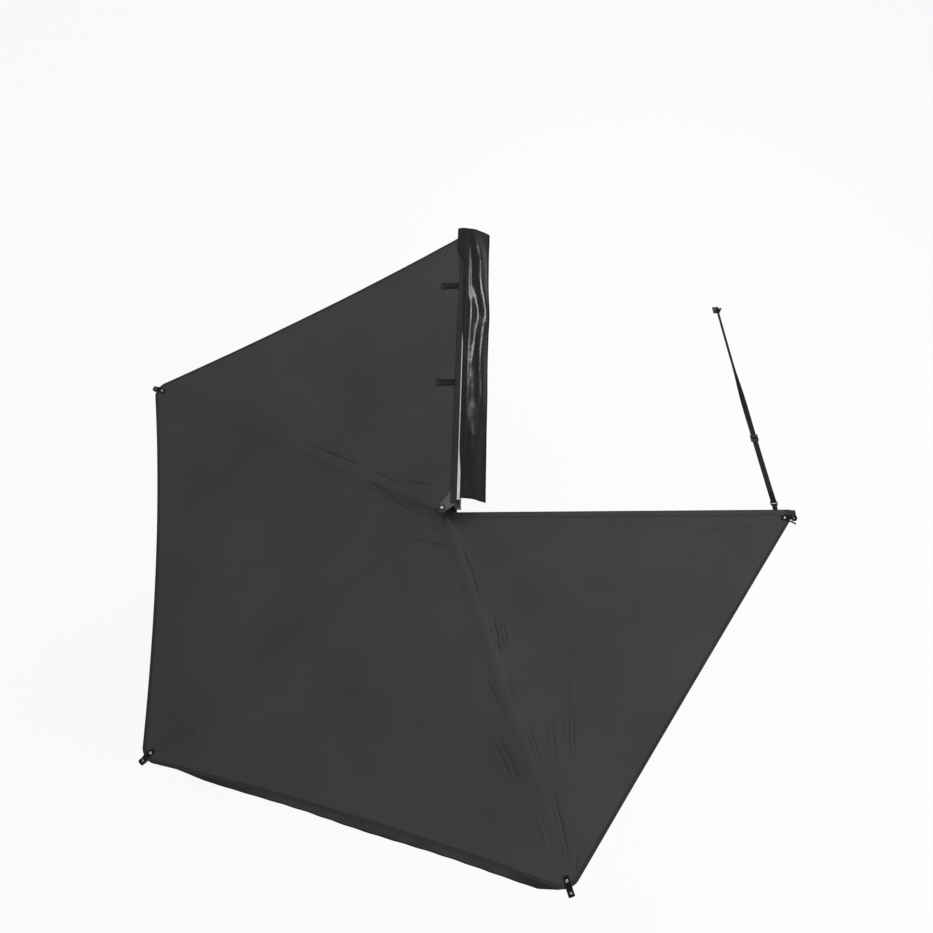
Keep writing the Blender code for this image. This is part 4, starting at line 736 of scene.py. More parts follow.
def moulded(name, colour, worn, roughness, grain, depth):
    """Moulded glass-filled nylon or rubber: an even spark-eroded grain, paler where rubbed. Bonded thread has
    the same kind of skin, with a finer grain."""
    made, tree, shader = finish(name, colour, roughness, Specular_IOR_Level=0.28)
    place = add(tree, "ShaderNodeTexCoord").outputs["Object"]
    speck = add(tree, "ShaderNodeTexNoise", {"Vector": place, "Scale": grain, "Detail": 3.0})
    rub = add(tree, "ShaderNodeTexNoise", {"Vector": place, "Scale": 24.0, "Detail": 5.0})
    share = add(tree, "ShaderNodeMapRange", {"Value": rub, "From Min": 0.45, "From Max": 0.75, "To Max": 0.6})
    tint = add(tree, "ShaderNodeMix", {0: share, 6: srgb(colour), 7: srgb(worn)}, data_type="RGBA")
    tree.links.new(tint.outputs[2], shader.inputs["Base Color"])
    relief(tree, shader, (speck, depth))
    return made


def make_materials():
    """Every finish and every tree of repeated things, by a short name."""
    found = {
        "canvas": canvas("woven_canvas", "363635", "50504e"),
        "hem": canvas("folded_hem_tape", "2a2a2a", "3e3e3c"),
        "tape": canvas("seam_tape", "363635", "4f4f4d"),
        "plate_hem": canvas("plate_hem_cloth", "282828", "3a3a39"),
        "strap": canvas("strap_cloth", "1e1e1e", "2a2a29"),
        "webbing": webbing("polyester_webbing", "0a0a0b", "161617"),
        "tie_webbing": webbing("tie_webbing", "171718", "323233"),
        # Black coated cloth, its colour and gloss turned down so that it reads as in shade: partly its own
        # colour, partly painted shade
        "cover_pvc": coated_cloth(
            "glossy_coated_cloth", "050506", "0d0d0e", roughness=0.14, gloss=0.2, emboss=0.00002
        ),
        "flap_pvc": coated_cloth(
            "satin_coated_cloth", "080808", "0e0e0e", roughness=0.62, gloss=0.3, emboss=0.00008
        ),
        "flap_edge": canvas("flap_binding", "0d0d0d", "161615"),
        "mill": extruded_metal(
            "mill_finish_aluminium", "b2b3b5", "cfcfce", roughness=0.40, turn=0.0, metallic=1.0, depth=0.00004
        ),
        # The hub's bracket: dark grey, not metallic, with a satin gloss
        "hub_coat": extruded_metal(
            "grey_powder_coated_bracket", "444544", "5c5d5b",
            roughness=0.42, turn=0.0, metallic=0.0, depth=0.00003, gloss=0.35,
        ),
        "zinc": zinc_plate("zinc_plated_steel", "b4b5b2", "cfc9b6", roughness=0.34),
        "black_steel": zinc_plate("black_passivated_steel", "1b1b1c", "2d2d2e", roughness=0.45),
        "nickel": zinc_plate("nickel_plated_brass", "d8d4cb", "e9e4d8", roughness=0.20),
        "nylon": moulded("moulded_nylon", "101011", "202021", roughness=0.46, grain=1400.0, depth=0.00006),
        "rubber": moulded("moulded_rubber", "121212", "242424", roughness=0.78, grain=500.0, depth=0.00012),
        "thread": moulded("bonded_thread", "383838", "4c4c4c", roughness=0.65, grain=2000.0, depth=0.00005),
    }
    for k, swing in enumerate(SWINGS, 1):
        found[f"coated_{k}"] = extruded_metal(
            f"powder_coated_rail_{k}", "2b2c2b", "3a3b39",
            roughness=0.48, turn=swing, metallic=0.0, depth=0.00003, gloss=0.25,
        )
        found[f"tube_{k}"] = extruded_metal(
            f"drawn_tube_{k}", "bfc0c2", "dadbdc", roughness=0.30, turn=swing, metallic=1.0, depth=0.00003
        )
    found["stitch_tree"] = stitch_tree(found["thread"])
    found["bolt_tree"] = bolt_tree(found["zinc"])
    found["eyelet_tree"] = eyelet_tree(found["nickel"])
    return found


# Meshes


def slab(points, low, high, cut=None, marks=None):
    """A thin closed solid over a grid of points, from low to high along its normals, which point up.

    cut gives each point's place on the flat cloth in metres, by default its distance along both ways."""
    rows, columns = points.shape[:2]
    across = np.gradient(points, axis=1)
    along = np.gradient(points, axis=0)
    normals = np.cross(across, along)
    normals /= np.maximum(np.linalg.norm(normals, axis=2, keepdims=True), TINY)
    turned = normals[..., 2].mean() < 0
    if turned:
        normals = -normals
    if cut is None:
        u = np.cumsum(np.linalg.norm(across, axis=2), axis=1)
        v = np.cumsum(np.linalg.norm(along, axis=2), axis=0)
        cut = np.stack([u, v], axis=2)
    count = rows * columns
    upper = (points + normals * high).reshape(-1, 3)
    lower = (points + normals * low).reshape(-1, 3)
    verts = np.concatenate([upper, lower])
    index = np.arange(count).reshape(rows, columns)
    quads = np.stack([index[:-1, :-1], index[:-1, 1:], index[1:, 1:], index[1:, :-1]], axis=2).reshape(-1, 4)
    rim = np.concatenate([index[0, :], index[1:, -1], index[-1, -2::-1], index[-2:0:-1, 0]])
    after = np.roll(rim, -1)
    walls = np.stack([after, rim, rim + count, after + count], axis=1)
    faces = np.concatenate([quads, quads[:, ::-1] + count, walls])
    if turned:
        faces = faces[:, ::-1]
    mesh = bpy.data.meshes.new("slab")
    mesh.from_pydata(verts.tolist(), [], faces.tolist())
    flat = np.concatenate([cut.reshape(-1, 2)] * 2)
    corners = np.empty(len(mesh.loops), np.int32)
    mesh.loops.foreach_get("vertex_index", corners)
    layer = mesh.uv_layers.new(name="cut")
    layer.data.foreach_set("uv", flat[corners].astype(np.float32).ravel())
    # The folds' painted highlight and shade, which the canvas reads as the crease attribute
    if marks is not None:
        crease = mesh.attributes.new("crease", "FLOAT", "POINT")
        crease.data.foreach_set("value", np.concatenate([marks.ravel()] * 2).astype(np.float32))
    mesh.shade_smooth()
    mesh.set_sharp_from_angle(angle=math.radians(CLOTH_SHARP))
    return mesh


def lines_mesh(lines):
    """A mesh of loose lines, for the stitching to follow."""
    verts = []
    edges = []
    for line in lines:
        first = len(verts)
        verts += [tuple(point) for point in line]
        edges += [(first + n, first + n + 1) for n in range(len(line) - 1)]
    mesh = bpy.data.meshes.new("lines")
    mesh.from_pydata(verts, edges, [])
    return mesh


def points_mesh(spots):
    """A mesh of loose points, each with the way that it faces."""
    mesh = bpy.data.meshes.new("points")
    mesh.from_pydata([tuple(place) for place, _ in spots], [], [])
    facing = mesh.attributes.new("facing", "FLOAT_VECTOR", "POINT")
    facing.data.foreach_set("vector", np.array([tuple(way) for _, way in spots], np.float32).ravel())
    return mesh


def piece(name, mesh, body, material=None, stands_for=()):
    """A finished mesh as a piece that rides on a body."""
    made = bpy.data.objects.new(name, mesh)
    bpy.context.scene.collection.objects.link(made)
    mesh.name = name
    if material:
        mesh.materials.clear()
        mesh.materials.append(material)
    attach(made, body)
    if stands_for:
        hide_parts(*stands_for)
    return made


# Repeated things, grown by Geometry Nodes


def new_tree(name, sizes):
    """A Geometry Nodes tree with named lengths, and its input and output nodes."""
    tree = bpy.data.node_groups.new(name, "GeometryNodeTree")
    tree.interface.new_socket("Geometry", in_out="INPUT", socket_type="NodeSocketGeometry")
    tree.interface.new_socket("Geometry", in_out="OUTPUT", socket_type="NodeSocketGeometry")
    for label, value in sizes.items():
        tree.interface.new_socket(label, in_out="INPUT", socket_type="NodeSocketFloat").default_value = value
    return tree, add(tree, "NodeGroupInput").outputs, add(tree, "NodeGroupOutput")


def end_tree(tree, instances, out, material, smooth=True):
    """Real faces of one material, smooth or flat, as the end of a tree."""
    real = add(tree, "GeometryNodeRealizeInstances", {0: instances})
    if smooth:
        real = add(tree, "GeometryNodeSetShadeSmooth", {0: real})
    named = add(tree, "GeometryNodeSetMaterial", {0: real, "Material": material})
    tree.links.new(named.outputs[0], out.inputs[0])
    return tree


def facing_turn(tree):
    """The turn that stands a thing up along its point's own way."""
    facing = add(tree, "GeometryNodeInputNamedAttribute", {"Name": "facing"}, data_type="FLOAT_VECTOR")
    return add(tree, "FunctionNodeAlignRotationToVector", {"Vector": facing}, axis="Z")


def stitch_tree(material):
    """Stitches of thick thread along lines, each a small rounded grain."""
    sizes = {"Pitch": STITCH_PITCH, "Length": STITCH_LENGTH, "Width": STITCH_WIDTH, "Height": STITCH_HEIGHT}
    tree, given, out = new_tree("stitching", sizes)
    curve = add(tree, "GeometryNodeMeshToCurve", {0: given["Geometry"]})
    spots = add(tree, "GeometryNodeCurveToPoints", {0: curve, "Length": given["Pitch"]}, mode="LENGTH")
    along = {"Vector": spots.outputs["Tangent"]}
    turn = add(tree, "FunctionNodeAlignRotationToVector", along, axis="X", pivot_axis="Z")
    grain = add(tree, "GeometryNodeMeshUVSphere", {"Segments": 6, "Rings": 3, "Radius": 0.5})
    size = add(tree, "ShaderNodeCombineXYZ", {0: given["Length"], 1: given["Width"], 2: given["Height"]})
    placed = add(
        tree,
        "GeometryNodeInstanceOnPoints",
        {"Points": spots.outputs["Points"], "Instance": grain, "Rotation": turn, "Scale": size},
    )
    return end_tree(tree, placed, out, material)


def bolt_tree(material):
    """Hexagon bolt heads on washers, each facing its own way."""
    sizes = {"Head radius": 0.0075, "Head height": 0.0053, "Washer radius": 0.0095, "Washer height": 0.0016}
    tree, given, out = new_tree("bolts", sizes)
    turn = facing_turn(tree)
    head_size = {"Vertices": 6, "Radius": given["Head radius"], "Depth": given["Head height"]}
    head = add(tree, "GeometryNodeMeshCylinder", head_size)
    washer_size = {"Vertices": 20, "Radius": given["Washer radius"], "Depth": given["Washer height"]}
    washer = add(tree, "GeometryNodeMeshCylinder", washer_size)
    middle = {0: given["Head height"], 1: 0.5, 2: given["Washer height"]}
    half = add(tree, "ShaderNodeMath", middle, operation="MULTIPLY_ADD")
    lift = add(tree, "ShaderNodeCombineXYZ", {2: half})
    raised = add(tree, "GeometryNodeTransform", {0: head, "Translation": lift})
    low = add(tree, "ShaderNodeMath", {0: given["Washer height"], 1: 0.5}, operation="MULTIPLY")
    seat = add(tree, "ShaderNodeCombineXYZ", {2: low})
    seated = add(tree, "GeometryNodeTransform", {0: washer, "Translation": seat})
    both = add(tree, "GeometryNodeJoinGeometry", {0: raised})
    tree.links.new(seated.outputs[0], both.inputs[0])
    spots = {"Points": given["Geometry"], "Instance": both, "Rotation": turn}
    placed = add(tree, "GeometryNodeInstanceOnPoints", spots)
    return end_tree(tree, placed, out, material, smooth=False)


def eyelet_tree(material):
    """Rolled eyelets: a ring round each hole, facing its own way."""
    tree, given, out = new_tree("eyelets", {"Ring radius": 0.0060, "Roll radius": 0.0014})
    turn = facing_turn(tree)
    ring = add(tree, "GeometryNodeCurvePrimitiveCircle", {"Resolution": 24, "Radius": given["Ring radius"]})
    roll = add(tree, "GeometryNodeCurvePrimitiveCircle", {"Resolution": 8, "Radius": given["Roll radius"]})
    body = add(tree, "GeometryNodeCurveToMesh", {0: ring, 1: roll})
    spots = {"Points": given["Geometry"], "Instance": body, "Rotation": turn}
    placed = add(tree, "GeometryNodeInstanceOnPoints", spots)
    return end_tree(tree, placed, out, material)


def grown(mesh, tree, **sizes):
    """The plain mesh that a tree makes of a mesh, with some of its lengths given by their names."""
    carrier = bpy.data.objects.new("carrier", mesh)
    bpy.context.scene.collection.objects.link(carrier)
    change = carrier.modifiers.new("repeat", "NODES")
    change.node_group = tree
    for socket in tree.interface.items_tree:
        label = socket.name.replace(" ", "_").lower()
        if socket.in_out == "INPUT" and label in sizes:
            change[socket.identifier] = sizes[label]
    made = bpy.data.meshes.new_from_object(carrier.evaluated_get(bpy.context.evaluated_depsgraph_get()))
    bpy.data.objects.remove(carrier, do_unlink=True)
    return made


def sew(name, rows, body, materials, **sizes):
    """Rows of stitches along lines, as a piece."""
    return piece(name, grown(lines_mesh(rows), materials["stitch_tree"], **sizes), body)


def sewn_box(ends, half, spot):
    """The lines of a sewn box with a cross in it, where spot gives the point at a place along and across."""
    low, high = ends
    box = [(low, -half), (high, -half), (high, half), (low, half), (low, -half), (high, half)]
    cross = [(low, half), (high, -half)]
    return [[spot(along, across) for along, across in line] for line in (box, cross)]


def fasten(name, spots, body, materials, **sizes):
    """Bolts or screws at their places, as a piece."""
    return piece(name, grown(points_mesh(spots), materials["bolt_tree"], **sizes), body)


# Canopy


def ways(n):
    """Unit vectors out along rafter n and to its left."""
    angle = SWINGS[n]
    out = np.array([-math.sin(angle), math.cos(angle)])
    return out, np.array([-out[1], out[0]])


def on_rafter(n, reach, across=0.0, height=0.0):
    """Points beside or over rafter n, with the height measured from its underside."""
    out, left = ways(n)
    reach, across, height = np.broadcast_arrays(reach, across, height)
    flat = HUB + reach[..., None] * out + across[..., None] * left
    return np.concatenate([flat, height[..., None] + RAIL_BASES[n]], axis=-1)


def panel_edges(n, v):
    """Where panel n's line at v starts and ends. v runs from 0 at the hub to 1 at the outer edge."""
    rest = RAIL_HEIGHT + GAP
    reach = CANOPY_START + v * (CANOPY_REACH - CANOPY_START)
    if n == 0:
        along = CANOPY_PLATE_START + v * (CANOPY_FRONT - CANOPY_PLATE_START)
        x = np.full_like(v, HUB[0] + PLATE_EDGE)
        first = np.stack([x, HUB[1] + along, np.full_like(v, PLATE_HIGH.z + GAP)], axis=-1)
    else:
        first = on_rafter(n - 1, reach, 2 * GAP, rest)
    if n == LAST:
        second = on_rafter(n, reach, -RAIL_HALF - GAP, RAIL_HEIGHT - KEDER_INSET - KEDER_PLAY)
    else:
        second = on_rafter(n, reach, -2 * GAP, rest)
    return first, second


def panel_length(n, v):
    """How far it is across panel n at v."""
    first, second = panel_edges(n, v)
    return np.linalg.norm((second - first)[..., :2], axis=-1)


def spread_folds():
    """Each row of FOLDS as its lines: where one starts and ends, its half width, height and waver."""
    draw = random.Random(FOLD_SEED)
    lines = []
    for rafter, start, end, count, spread, tall in FOLDS:
        a = on_rafter(rafter - 1, *start)[:2]
        b = on_rafter(rafter - 1, *end)[:2]
        along = (b - a) / np.linalg.norm(b - a)
        aside = np.array([-along[1], along[0]])
        for k in range(count):
            shift = aside * spread * ((k + 0.5) / count - 0.5 + draw.uniform(-FOLD_JITTER, FOLD_JITTER))
            early = FOLD_STAGGER * draw.random() * (b - a) * (count > 1)
            late = FOLD_STAGGER * draw.random() * (b - a) * (count > 1)
            half = FOLD_HALF * draw.uniform(*FOLD_HALVES)
            high = tall * (draw.uniform(*FOLD_HEIGHTS) if count > 1 else 1.0)
            lines.append((a + shift + early, b + shift - late, half, high, draw.uniform(0, 2 * math.pi)))
    return lines


FOLD_LINES = spread_folds()


def fold_field(x, y):
    """The folds' height at each place, and their painted light: above 0 for a painted highlight on the ridge,
    and below 0 for painted shade beside it.
    """
    height = np.zeros_like(x)
    mark = np.zeros_like(x)
    for start, end, half, tall, phase in FOLD_LINES:
        length = np.linalg.norm(end - start)
        along = (end - start) / length
        far_x = x - start[0]
        far_y = y - start[1]
        share = (far_x * along[0] + far_y * along[1]) / length
        inside = np.clip(share, 0, 1)
        bend = FOLD_BEND * length * 4 * inside * (1 - inside)
        waver = FOLD_WAVER * np.sin(FOLD_WAVES * share + phase)
        off = (-far_x * along[1] + far_y * along[0] - bend) / half + waver
        rise = smooth_step((share + FOLD_PAST) / FOLD_TAPER)
        fall = smooth_step((1 + FOLD_PAST - share) / FOLD_TAPER)
        taper = rise * fall
        ridge = hump(off)
        for depth, place in FOLD_DIPS:
            ridge = ridge - depth * hump(off, place)
        height += tall * taper * ridge
        # Painted highlight along the fold's ridge, and painted shade in a dark line beside it
        painted_fold_light = RIDGE_HIGHLIGHT_STRENGTH * hump(off, 0.0, RIDGE_HIGHLIGHT_HALF) - hump(off, FOLD_SHADE_PLACE, FOLD_SHADE_HALF)
        mark += (tall / FOLD_FULL_HEIGHT) ** MARK_GROWTH * taper * painted_fold_light
    return height, np.clip(mark, -1, 1)


def swell(x, y):
    """The slow unevenness of hand-tensioned cloth."""
    found = np.zeros(x.size)
    for n, (a, b) in enumerate(zip(x.ravel(), y.ravel())):
        found[n] = sum(tall * noise.noise((a * often, b * often, cut)) for tall, often, cut in SWELLS)
    return found.reshape(x.shape)


def panel_surface(n, across, v):
    """Points on the underside of panel n, a distance across from its first edge, and their folds' painted
    light.
    """
    first, second = panel_edges(n, v)
    flat = (second - first)[..., :2]
    length = np.linalg.norm(flat, axis=-1)
    rest_first = np.minimum(PLATE_REST if n == 0 else RAIL_REST, REST_MOST * length)
    rest_second = np.minimum(LAST_REST if n == LAST else RAIL_REST, REST_MOST * length)
    free = length - rest_first - rest_second
    t = np.clip((across - rest_first) / free, 0.0, 1.0)
    height = first[..., 2] + (second[..., 2] - first[..., 2]) * (1 - (1 - t) ** 3)
    height -= SAG * v * 4 * t * (1 - t)
    depth = VALLEY_DEPTH * np.sin(np.pi * np.minimum(v * VALLEY_PACE, 1.0))
    for distance, strength in zip((t * free, free * (1 - t)), VALLEYS[n]):
        height -= strength * depth * distance / VALLEY_WIDTH * np.exp(1 - distance / VALLEY_WIDTH)
    along = flat / length[..., None]
    outward = np.stack([along[..., 1], -along[..., 0]], axis=-1)
    middle = (first + second)[..., :2] / 2 - HUB
    outward *= np.sign((outward * middle).sum(-1))[..., None]
    ease = smooth_step(np.minimum(across, length - across) / EDGE_EASE_RUN)
    bow = v * v * (EDGE_BOWS[n] * 4 * t * (1 - t) - EDGE_EASE * ease)
    spot = first[..., :2] + along * across[..., None] - outward * bow[..., None]
    clear = np.minimum(across - REST_CLEAR * rest_first, length - REST_CLEAR * rest_second - across)
    near = smooth_step(clear / REST_BLEND)
    edge = smooth_step((SWELL_END - v) / SWELL_FADE)
    folds, mark = fold_field(spot[..., 0], spot[..., 1])
    height += (folds + swell(spot[..., 0], spot[..., 1]) * edge) * near
    return np.concatenate([spot, height[..., None]], axis=-1), mark * near


def panel_columns(n, v):
    """Distances across panel n for its grid, close together near both edges."""
    length = panel_length(n, v)
    bands = [np.minimum(band, FINE_MOST * length) for band in FINE_BANDS[n]]
    counts = [max(FINE_FEWEST, round(band / FINE_STEP)) for band in FINE_BANDS[n]]
    longest = float(length.max())
    middle_count = round((longest - sum(FINE_BANDS[n])) / COARSE_STEP)
    rows = []
    for full, low, high in zip(length, *bands):
        start = np.linspace(0, low, counts[0], endpoint=False)
        middle = np.linspace(low, full - high, middle_count, endpoint=False)
        end = np.linspace(full - high, full, counts[1] + 1)
        rows.append(np.concatenate([start, middle, end]))
    return np.array(rows)


def fold_up(made, n):
    """Gives the piece its own copy of its mesh."""
    if n == 0:
        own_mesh(made)
        return
    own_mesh(made)


def panel_body(n):
    """The body that panel n's cloth rides on."""
    return "base" if n == 0 else f"arm_{n + 1}"


def build_panels(materials):
    """The four panels, each with its outer hem. Gives back the first one's faces, for what lies on it."""
    found = None
    for n in range(LAST + 1):
        v = np.linspace(0.0, 1.0, PANEL_ROWS)
        across = panel_columns(n, v)
        rows = np.broadcast_to(v[:, None], across.shape)
        points, marks = panel_surface(n, across, rows)
        first, second = panel_edges(n, np.array([1.0]))
        chord = (second - first)[0, :2]
        chord = chord / np.linalg.norm(chord)
        aside = np.array([chord[1], -chord[0]])
        cut = np.stack([points[..., :2] @ chord, points[..., :2] @ aside], axis=-1)
        mesh = slab(points, 0.0, CANVAS, cut, marks)
        solid = [f"canopy_panel_{n + 1}"]
        cloth = piece(f"canopy_cloth_{n + 1}", mesh, panel_body(n), materials["canvas"], solid)
        fold_up(cloth, n)
        declare_panel(build_hem(n, materials), n)
        if n == 0:
            faces = [tuple(face.vertices) for face in mesh.polygons]
            found = BVHTree.FromPolygons([vert.co.copy() for vert in mesh.vertices], faces)
    return found


def build_hem(n, materials):
    """The folded tape round a panel's outer edge, clear of the tapes over the rafters."""
    length = float(panel_length(n, np.array([1.0]))[0])
    start = HEM_FROM_PLATE if n == 0 else HEM_FROM_TAPE
    end = length - (HEM_FROM_END if n == LAST else HEM_FROM_TAPE)
    insets = [share * HEM for share in HEM_SHARES] + [-HEM_OVERHANG]
    rows = 1.0 - np.array(insets) / EDGE_DEPTH
    v, across = np.meshgrid(rows, np.linspace(start, end, HEM_COLUMNS), indexing="ij")
    points, _ = panel_surface(n, across * panel_length(n, v) / length, v)
    mesh = slab(points, -HEM_UNDER, CANVAS + HEM_OVER)
    made = piece(f"canopy_hem_{n + 1}", mesh, panel_body(n), materials["hem"])
    fold_up(made, n)
    return made


def declare_panel(hem, n):
    """Finds the ends of panel n's outer edge, and does nothing with them."""
    first, second = panel_edges(n, np.array([1.0]))


def build_tapes(materials):
    """Seam tapes that join two panels over each of the first three rafters."""
    reach = np.concatenate([[TAPE_START], np.linspace(TAPE_EVEN_START, TAPE_END, 90)])
    r, s = np.meshgrid(reach, np.linspace(-TAPE_HALF, TAPE_HALF, 7), indexing="ij")
    top = RAIL_HEIGHT + GAP + CANVAS + TAPE_LIFT
    crown = TAPE_CROWN * np.cos(s / TAPE_HALF * np.pi / 2)
    seam = TAPE_HALF - TAPE_SEAM
    for n in range(LAST):
        body = f"arm_{n + 1}"
        mesh = slab(on_rafter(n, r, s, top + crown), 0.0, TAPE_THICKNESS)
        piece(f"seam_tape_{n + 1}", mesh, body, materials["tape"])
        rows = [on_rafter(n, reach, side * seam, top + TAPE_STITCH_LIFT) for side in (-1, 1)]
        sew(f"seam_stitches_{n + 1}", rows, body, materials)


def build_plate_hem(materials):
    """The doubled edge of the first panel, sewn along the plate and over the hub's bracket."""
    along = np.linspace(PLATE_HEM_START, PLATE_HEM_END, 200)
    across = np.linspace(PLATE_HEM_INNER, PLATE_HEM_OUTER, 9)
    y, x = np.meshgrid(along, across, indexing="ij")
    crown = PLATE_HEM_CROWN * np.sin((x - PLATE_HEM_INNER) / (PLATE_HEM_OUTER - PLATE_HEM_INNER) * np.pi)
    z = PLATE_HIGH.z + GAP + CANVAS + PLATE_HEM_LIFT + crown
    points = np.stack([HUB[0] + x, HUB[1] + y, z], axis=-1)
    piece("plate_hem", slab(points, 0.0, PLATE_HEM_THICKNESS), "base", materials["plate_hem"])
    top = np.full_like(along, z.mean() + PLATE_HEM_STITCH_LIFT)
    rows = []
    for inset in PLATE_HEM_SEAMS:
        rows.append(np.stack([np.full_like(along, HUB[0] + inset), HUB[1] + along, top], axis=-1))
    sew("plate_hem_stitches", rows, "base", materials)


def build_hem_stitches(materials):
    """Two rows of stitches along each panel's hem."""
    for n in range(LAST + 1):
        shares = np.linspace(*SEAM_SHARES)
        rows = []
        for inset in (SEAM_INSET, HEM - SEAM_INSET):
            v = np.full_like(shares, 1.0 - inset / EDGE_DEPTH)
            points, _ = panel_surface(n, shares * panel_length(n, v), v)
            points[..., 2] += CANVAS + STITCH_LIFT
            rows.append(points)
        fold_up(sew(f"hem_stitches_{n + 1}", rows, panel_body(n), materials), n)


# Corner tabs


def tab_rows(n):
    """The places and heights that a tab passes through over its rafter's tip."""
    rest = RAIL_HEIGHT + GAP + CANVAS + TAB_OVER_CANVAS
    if n == LAST:
        rest = RAIL_HEIGHT - KEDER_INSET + KEDER_PLAY + 2 * GAP
    nose = TIP_NOSE_TOP + TAB_OVER_NOSE
    reach = np.concatenate([np.linspace(*run) for run in TAB_RUNS])
    return reach, rest + (nose - rest) * ramp(reach, TIP_SHOULDER, TAB_FOOT - TIP_SHOULDER)


def build_tabs(materials):
    """Each corner's tab, with its eyelets and stitching. The last one lies on its rafter tip's side ear."""
    for n in range(LAST + 1):
        centre = -SIDE_TAB if n == LAST else 0.0
        body = f"arm_{n + 1}"
        reach, height = tab_rows(n)
        r, s = np.meshgrid(reach, np.linspace(-TAB_HALF, TAB_HALF, 9), indexing="ij")
        narrow = 1.0 - TAB_NARROWING * ramp(r, TAB_NARROW_START, TAB_NARROW_RUN)
        points = on_rafter(n, r, centre + s * narrow, np.broadcast_to(height[:, None], r.shape))
        mesh = slab(points, 0.0, TAB_THICKNESS)
        solid = [f"{body}_tension_tab"]
        tab = piece(f"corner_tab_{n + 1}", mesh, body, materials["webbing"], solid)
        top = height + TAB_THICKNESS
        spots = []
        for eyelet in TAB_EYELETS:
            face = float(np.interp(eyelet, reach, top))
            spots.append((on_rafter(n, eyelet, centre, face), (0, 0, 1)))
        piece(f"tab_eyelets_{n + 1}", grown(points_mesh(spots), materials["eyelet_tree"]), body)
        lift = float(top[0]) + TAB_STITCH_LIFT
        rows = sewn_box(TAB_BOX, TAB_BOX_HALF, lambda a, b: on_rafter(n, a, centre + b, lift))
        run = np.linspace(*TAB_SEAM)
        rows += [on_rafter(n, run, centre + way * TAB_SEAM_HALF, lift) for way in (-1, 1)]
        short = {"pitch": SHORT_PITCH, "length": SHORT_LENGTH, "width": SHORT_WIDTH}
        sew(f"tab_stitches_{n + 1}", rows, body, materials, **short)


def build_tab_tail(materials):
    """The loose end of the last tab's webbing, which hangs off beside the rafter's tip."""
    share = np.linspace(0, 1, 16)[:, None]
    side = np.linspace(-1, 1, 5)[None, :]
    start = np.array(TAIL_START)
    end = np.array(TAIL_END)
    ahead = (end - start) / np.linalg.norm(end - start)
    beside = np.array([-ahead[1], ahead[0]])
    flat = start + share[..., None] * (end - start) + TAIL_HALF * side[..., None] * beside
    height = TAIL_TOP - TAIL_DROP * share ** 2 + 0 * side
    points = on_rafter(LAST, flat[..., 0], flat[..., 1], height)
    piece("tab_tail", slab(points, 0.0, TAIL_THICKNESS), "arm_4", materials["webbing"])


# Front flap


def flap_surface(u, v):
    """Points on the flap: u runs along the third panel's outer edge, and v down from it to the flap's hem."""
    one = np.ones_like(u)
    length = panel_length(FLAP_PANEL, one)
    place = (FLAP_START + u * (FLAP_END - FLAP_START)) * length
    edge, _ = panel_surface(FLAP_PANEL, place, one)
    first, second = panel_edges(FLAP_PANEL, np.array([1.0]))
    along = (second - first)[0, :2] / length.flat[0]
    outward = np.array([along[1], -along[0]])
    if outward @ (edge[..., :2].reshape(-1, 2).mean(0) - HUB) < 0:
        outward = -outward
    (share_in, growth_in), (share_out, growth_out) = FLAP_TAPERS
    taper = np.minimum(1.0, share_in + growth_in * u) * np.minimum(1.0, share_out + growth_out * (1 - u))
    edge_u = FLAP_START + u * (FLAP_END - FLAP_START)
    past = FLAP_PAST_CHORD + FLAP_PAST_RISE * u
    reach_out = EDGE_BOWS[FLAP_PANEL] * 4 * edge_u * (1 - edge_u) + past - EDGE_EASE + FLAP_INSET
    lean = np.arcsin(np.clip(reach_out / (FLAP_WIDTH * taper), *FLAP_LEANS))
    wave = FLAP_WAVE * np.sin(FLAP_WAVES * np.pi * u) * v * taper
    ripple = FLAP_RIPPLE * np.sin(FLAP_RIPPLES * np.pi * u + 2.0 * v) * v * taper
    out = v * FLAP_WIDTH * taper * np.sin(lean) + wave + ripple - FLAP_INSET
    down = v * FLAP_WIDTH * taper * np.cos(lean) + FLAP_BELOW
    flat = edge[..., :2] + out[..., None] * outward
    return np.concatenate([flat, (edge[..., 2] - down)[..., None]], axis=-1)


def build_flap(materials):
    """The flap, with the binding and the stitches along its lower edge."""
    u, v = np.meshgrid(np.linspace(0, 1, 260), np.linspace(0, 1, 14), indexing="ij")
    mesh = slab(flap_surface(u, v), 0.0, FLAP_THICKNESS)
    flap = piece("flap_cloth", mesh, "arm_3", materials["flap_pvc"], ["front_flap"])
    u, v = np.meshgrid(np.linspace(0, 1, 200), np.array(FLAP_HEM_ROWS), indexing="ij")
    mesh = slab(flap_surface(u, v), -FLAP_HEM_UNDER, FLAP_HEM_OVER)
    hem = piece("flap_hem", mesh, "arm_3", materials["flap_edge"])
    run = np.linspace(*FLAP_SEAM_RUN)
    row = flap_surface(run, np.full_like(run, FLAP_SEAM))
    row[..., 2] += FLAP_HEM_OVER
    stitches = sew("flap_stitches", [row], "arm_3", materials)
    for made in (flap, hem, stitches):
        fold_up(made, FLAP_PANEL)
    long = float(panel_length(FLAP_PANEL, np.array([1.0]))[0]) * (FLAP_END - FLAP_START)


# Storage straps


def strap_grid(steps, sides, heights, along):
    """Points at each step across the plate's edge and each side of a strap's middle."""
    x, y = np.meshgrid(steps, sides, indexing="ij")
    z = np.broadcast_to(heights[:, None], x.shape)
    return np.stack([HUB[0] + x, HUB[1] + along + y, z], axis=-1)


def strap_height(canopy, x, along):
    """The highest place of the canopy under a strap's full width."""
    found = []
    for near in (-STRAP_FEEL, 0.0, STRAP_FEEL):
        for side in (-STRAP_HALF, 0.0, STRAP_HALF):
            start = Vector((HUB[0] + x + near, HUB[1] + along + side, 1.0))
            found.append(canopy.ray_cast(start, Vector((0, 0, -1)))[0].z)
    return max(found)


